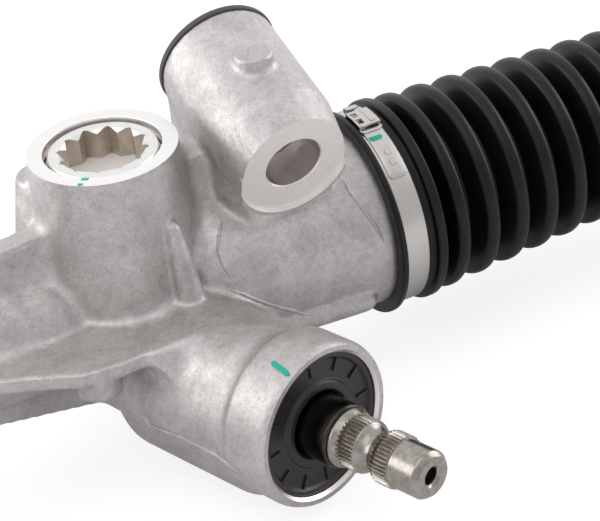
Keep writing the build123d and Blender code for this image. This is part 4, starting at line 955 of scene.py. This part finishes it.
SHOWN = {
    STEEL: ["rack_bar", "inner_socket_left", "inner_socket_right", "pinion_bearing_outer",
            "pinion_bearing_inner", "pinion_bearing_balls", "pinion_snap_ring", "pinion_lower_bush",
            "yoke_spring"],
    CUT: ["yoke"],
    PLASTIC: ["yoke_liner", "rack_bush", "ball_seat_left", "ball_seat_right"],
    SEAL: ["yoke_o_ring", "rack_stop_left", "rack_stop_right"],
    ZINC: ["mount_bush_shell_left", "mount_bush_shell_right", "mount_bush_sleeve_left",
           "mount_bush_sleeve_right", "jam_nut_left", "jam_nut_right"],
    BAND: ["boot_clip_left", "boot_clip_right"],
}
for finish_material, names in SHOWN.items():
    for name in names:
        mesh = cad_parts[name].data
        mesh.materials.clear()
        mesh.materials.append(finish_material)


# Floor, lights, camera

def floor_material():
    """Plain pale floor: it reflects as it is, and the camera sees it lifted to white."""
    made = bpy.data.materials.new("floor")
    made.use_nodes = True
    made.node_tree.nodes.clear()
    out = add(made, "ShaderNodeOutputMaterial")
    plain = add(made, "ShaderNodeBsdfDiffuse", Color=(0.8, 0.8, 0.8, 1))
    seen = add(made, "ShaderNodeBsdfDiffuse", Color=(0.38, 0.38, 0.38, 1))
    glow = add(made, "ShaderNodeEmission", Color=(1, 1, 1, 1), Strength=0.78)
    both = add(made, "ShaderNodeAddShader")
    link(made, seen.outputs[0], both.inputs[0])
    link(made, glow.outputs[0], both.inputs[1])
    path = add(made, "ShaderNodeLightPath")
    mix = add(made, "ShaderNodeMixShader")
    link(made, path.outputs["Is Camera Ray"], mix.inputs[0])
    link(made, plain.outputs[0], mix.inputs[1])
    link(made, both.outputs[0], mix.inputs[2])
    link(made, mix.outputs[0], out.inputs["Surface"])
    return made


bm = bmesh.new()
bmesh.ops.create_grid(bm, x_segments=1, y_segments=1, size=6)
floor = object_of("floor", bm, [floor_material()])
floor.location = (0, 0, cad_box[0].z - 0.3 * MM)

world = bpy.data.worlds.new("studio")
scene.world = world
world.use_nodes = True
sky = world.node_tree.nodes["Background"]
sky.inputs["Color"].default_value = (1, 1, 1, 1)
path = add(world, "ShaderNodeLightPath")
strength = add(world, "ShaderNodeMix", data_type="FLOAT")
strength.inputs[3].default_value = 1.0
# Bright above and behind, darker low down on the near side; the camera itself sees plain white
way = add(world, "ShaderNodeTexCoord")
slope = add(world, "ShaderNodeVectorMath", operation="DOT_PRODUCT")
slope.inputs[1].default_value = (0, 0.8, 0.45)
levels = {"From Min": -0.5, "From Max": 0.9, "To Min": 0.56, "To Max": 0.96}
fade = add(world, "ShaderNodeMapRange", **levels)
link(world, way.outputs["Generated"], slope.inputs[0])
link(world, slope.outputs["Value"], fade.inputs["Value"])
link(world, fade.outputs["Result"], strength.inputs[2])
link(world, path.outputs["Is Camera Ray"], strength.inputs[0])
link(world, strength.outputs[0], sky.inputs["Strength"])


def lamp(name, place, target, size, power):
    """A rectangular lamp that looks at a place."""
    data = bpy.data.lights.new(name, "AREA")
    data.shape, data.size, data.size_y, data.energy = "RECTANGLE", size[0], size[1], power
    obj = bpy.data.objects.new(name, data)
    scene.collection.objects.link(obj)
    obj.location = place
    obj.rotation_mode = "QUATERNION"
    obj.rotation_quaternion = (Vector(target) - Vector(place)).to_track_quat("-Z", "Y")


TARGET = (-0.05, 0.0, -0.04)
lamp("left", (-0.95, 0.4, 0.3), TARGET, (0.8, 0.9), 4.0)
lamp("right", (0.95, 0.0, 0.3), TARGET, (0.6, 0.8), 3.0)
lamp("top", (-0.35, -0.2, 0.9), TARGET, (0.8, 0.8), 1.1)

# Camera: its place and its three axes, as solved from the circles of the bosses and the boot
lens = bpy.data.cameras.new("camera")
lens.lens, lens.sensor_width = 163.0, 36.0
lens.clip_start, lens.clip_end = 0.05, 50
camera = bpy.data.objects.new("camera", lens)
scene.collection.objects.link(camera)
right, up = Vector((0.883, -0.4562, -0.1099)), Vector((0.3259, 0.4276, 0.8432))
back = Vector((-0.3377, -0.7804, 0.5263))
turn = Matrix((right, up, back)).transposed()
camera.rotation_mode = "QUATERNION"
camera.rotation_quaternion = turn.to_quaternion()
camera.location = Vector((-292.9, -671.8, 418.0)) * MM
scene.camera = camera
scene.view_settings.view_transform = "Standard"
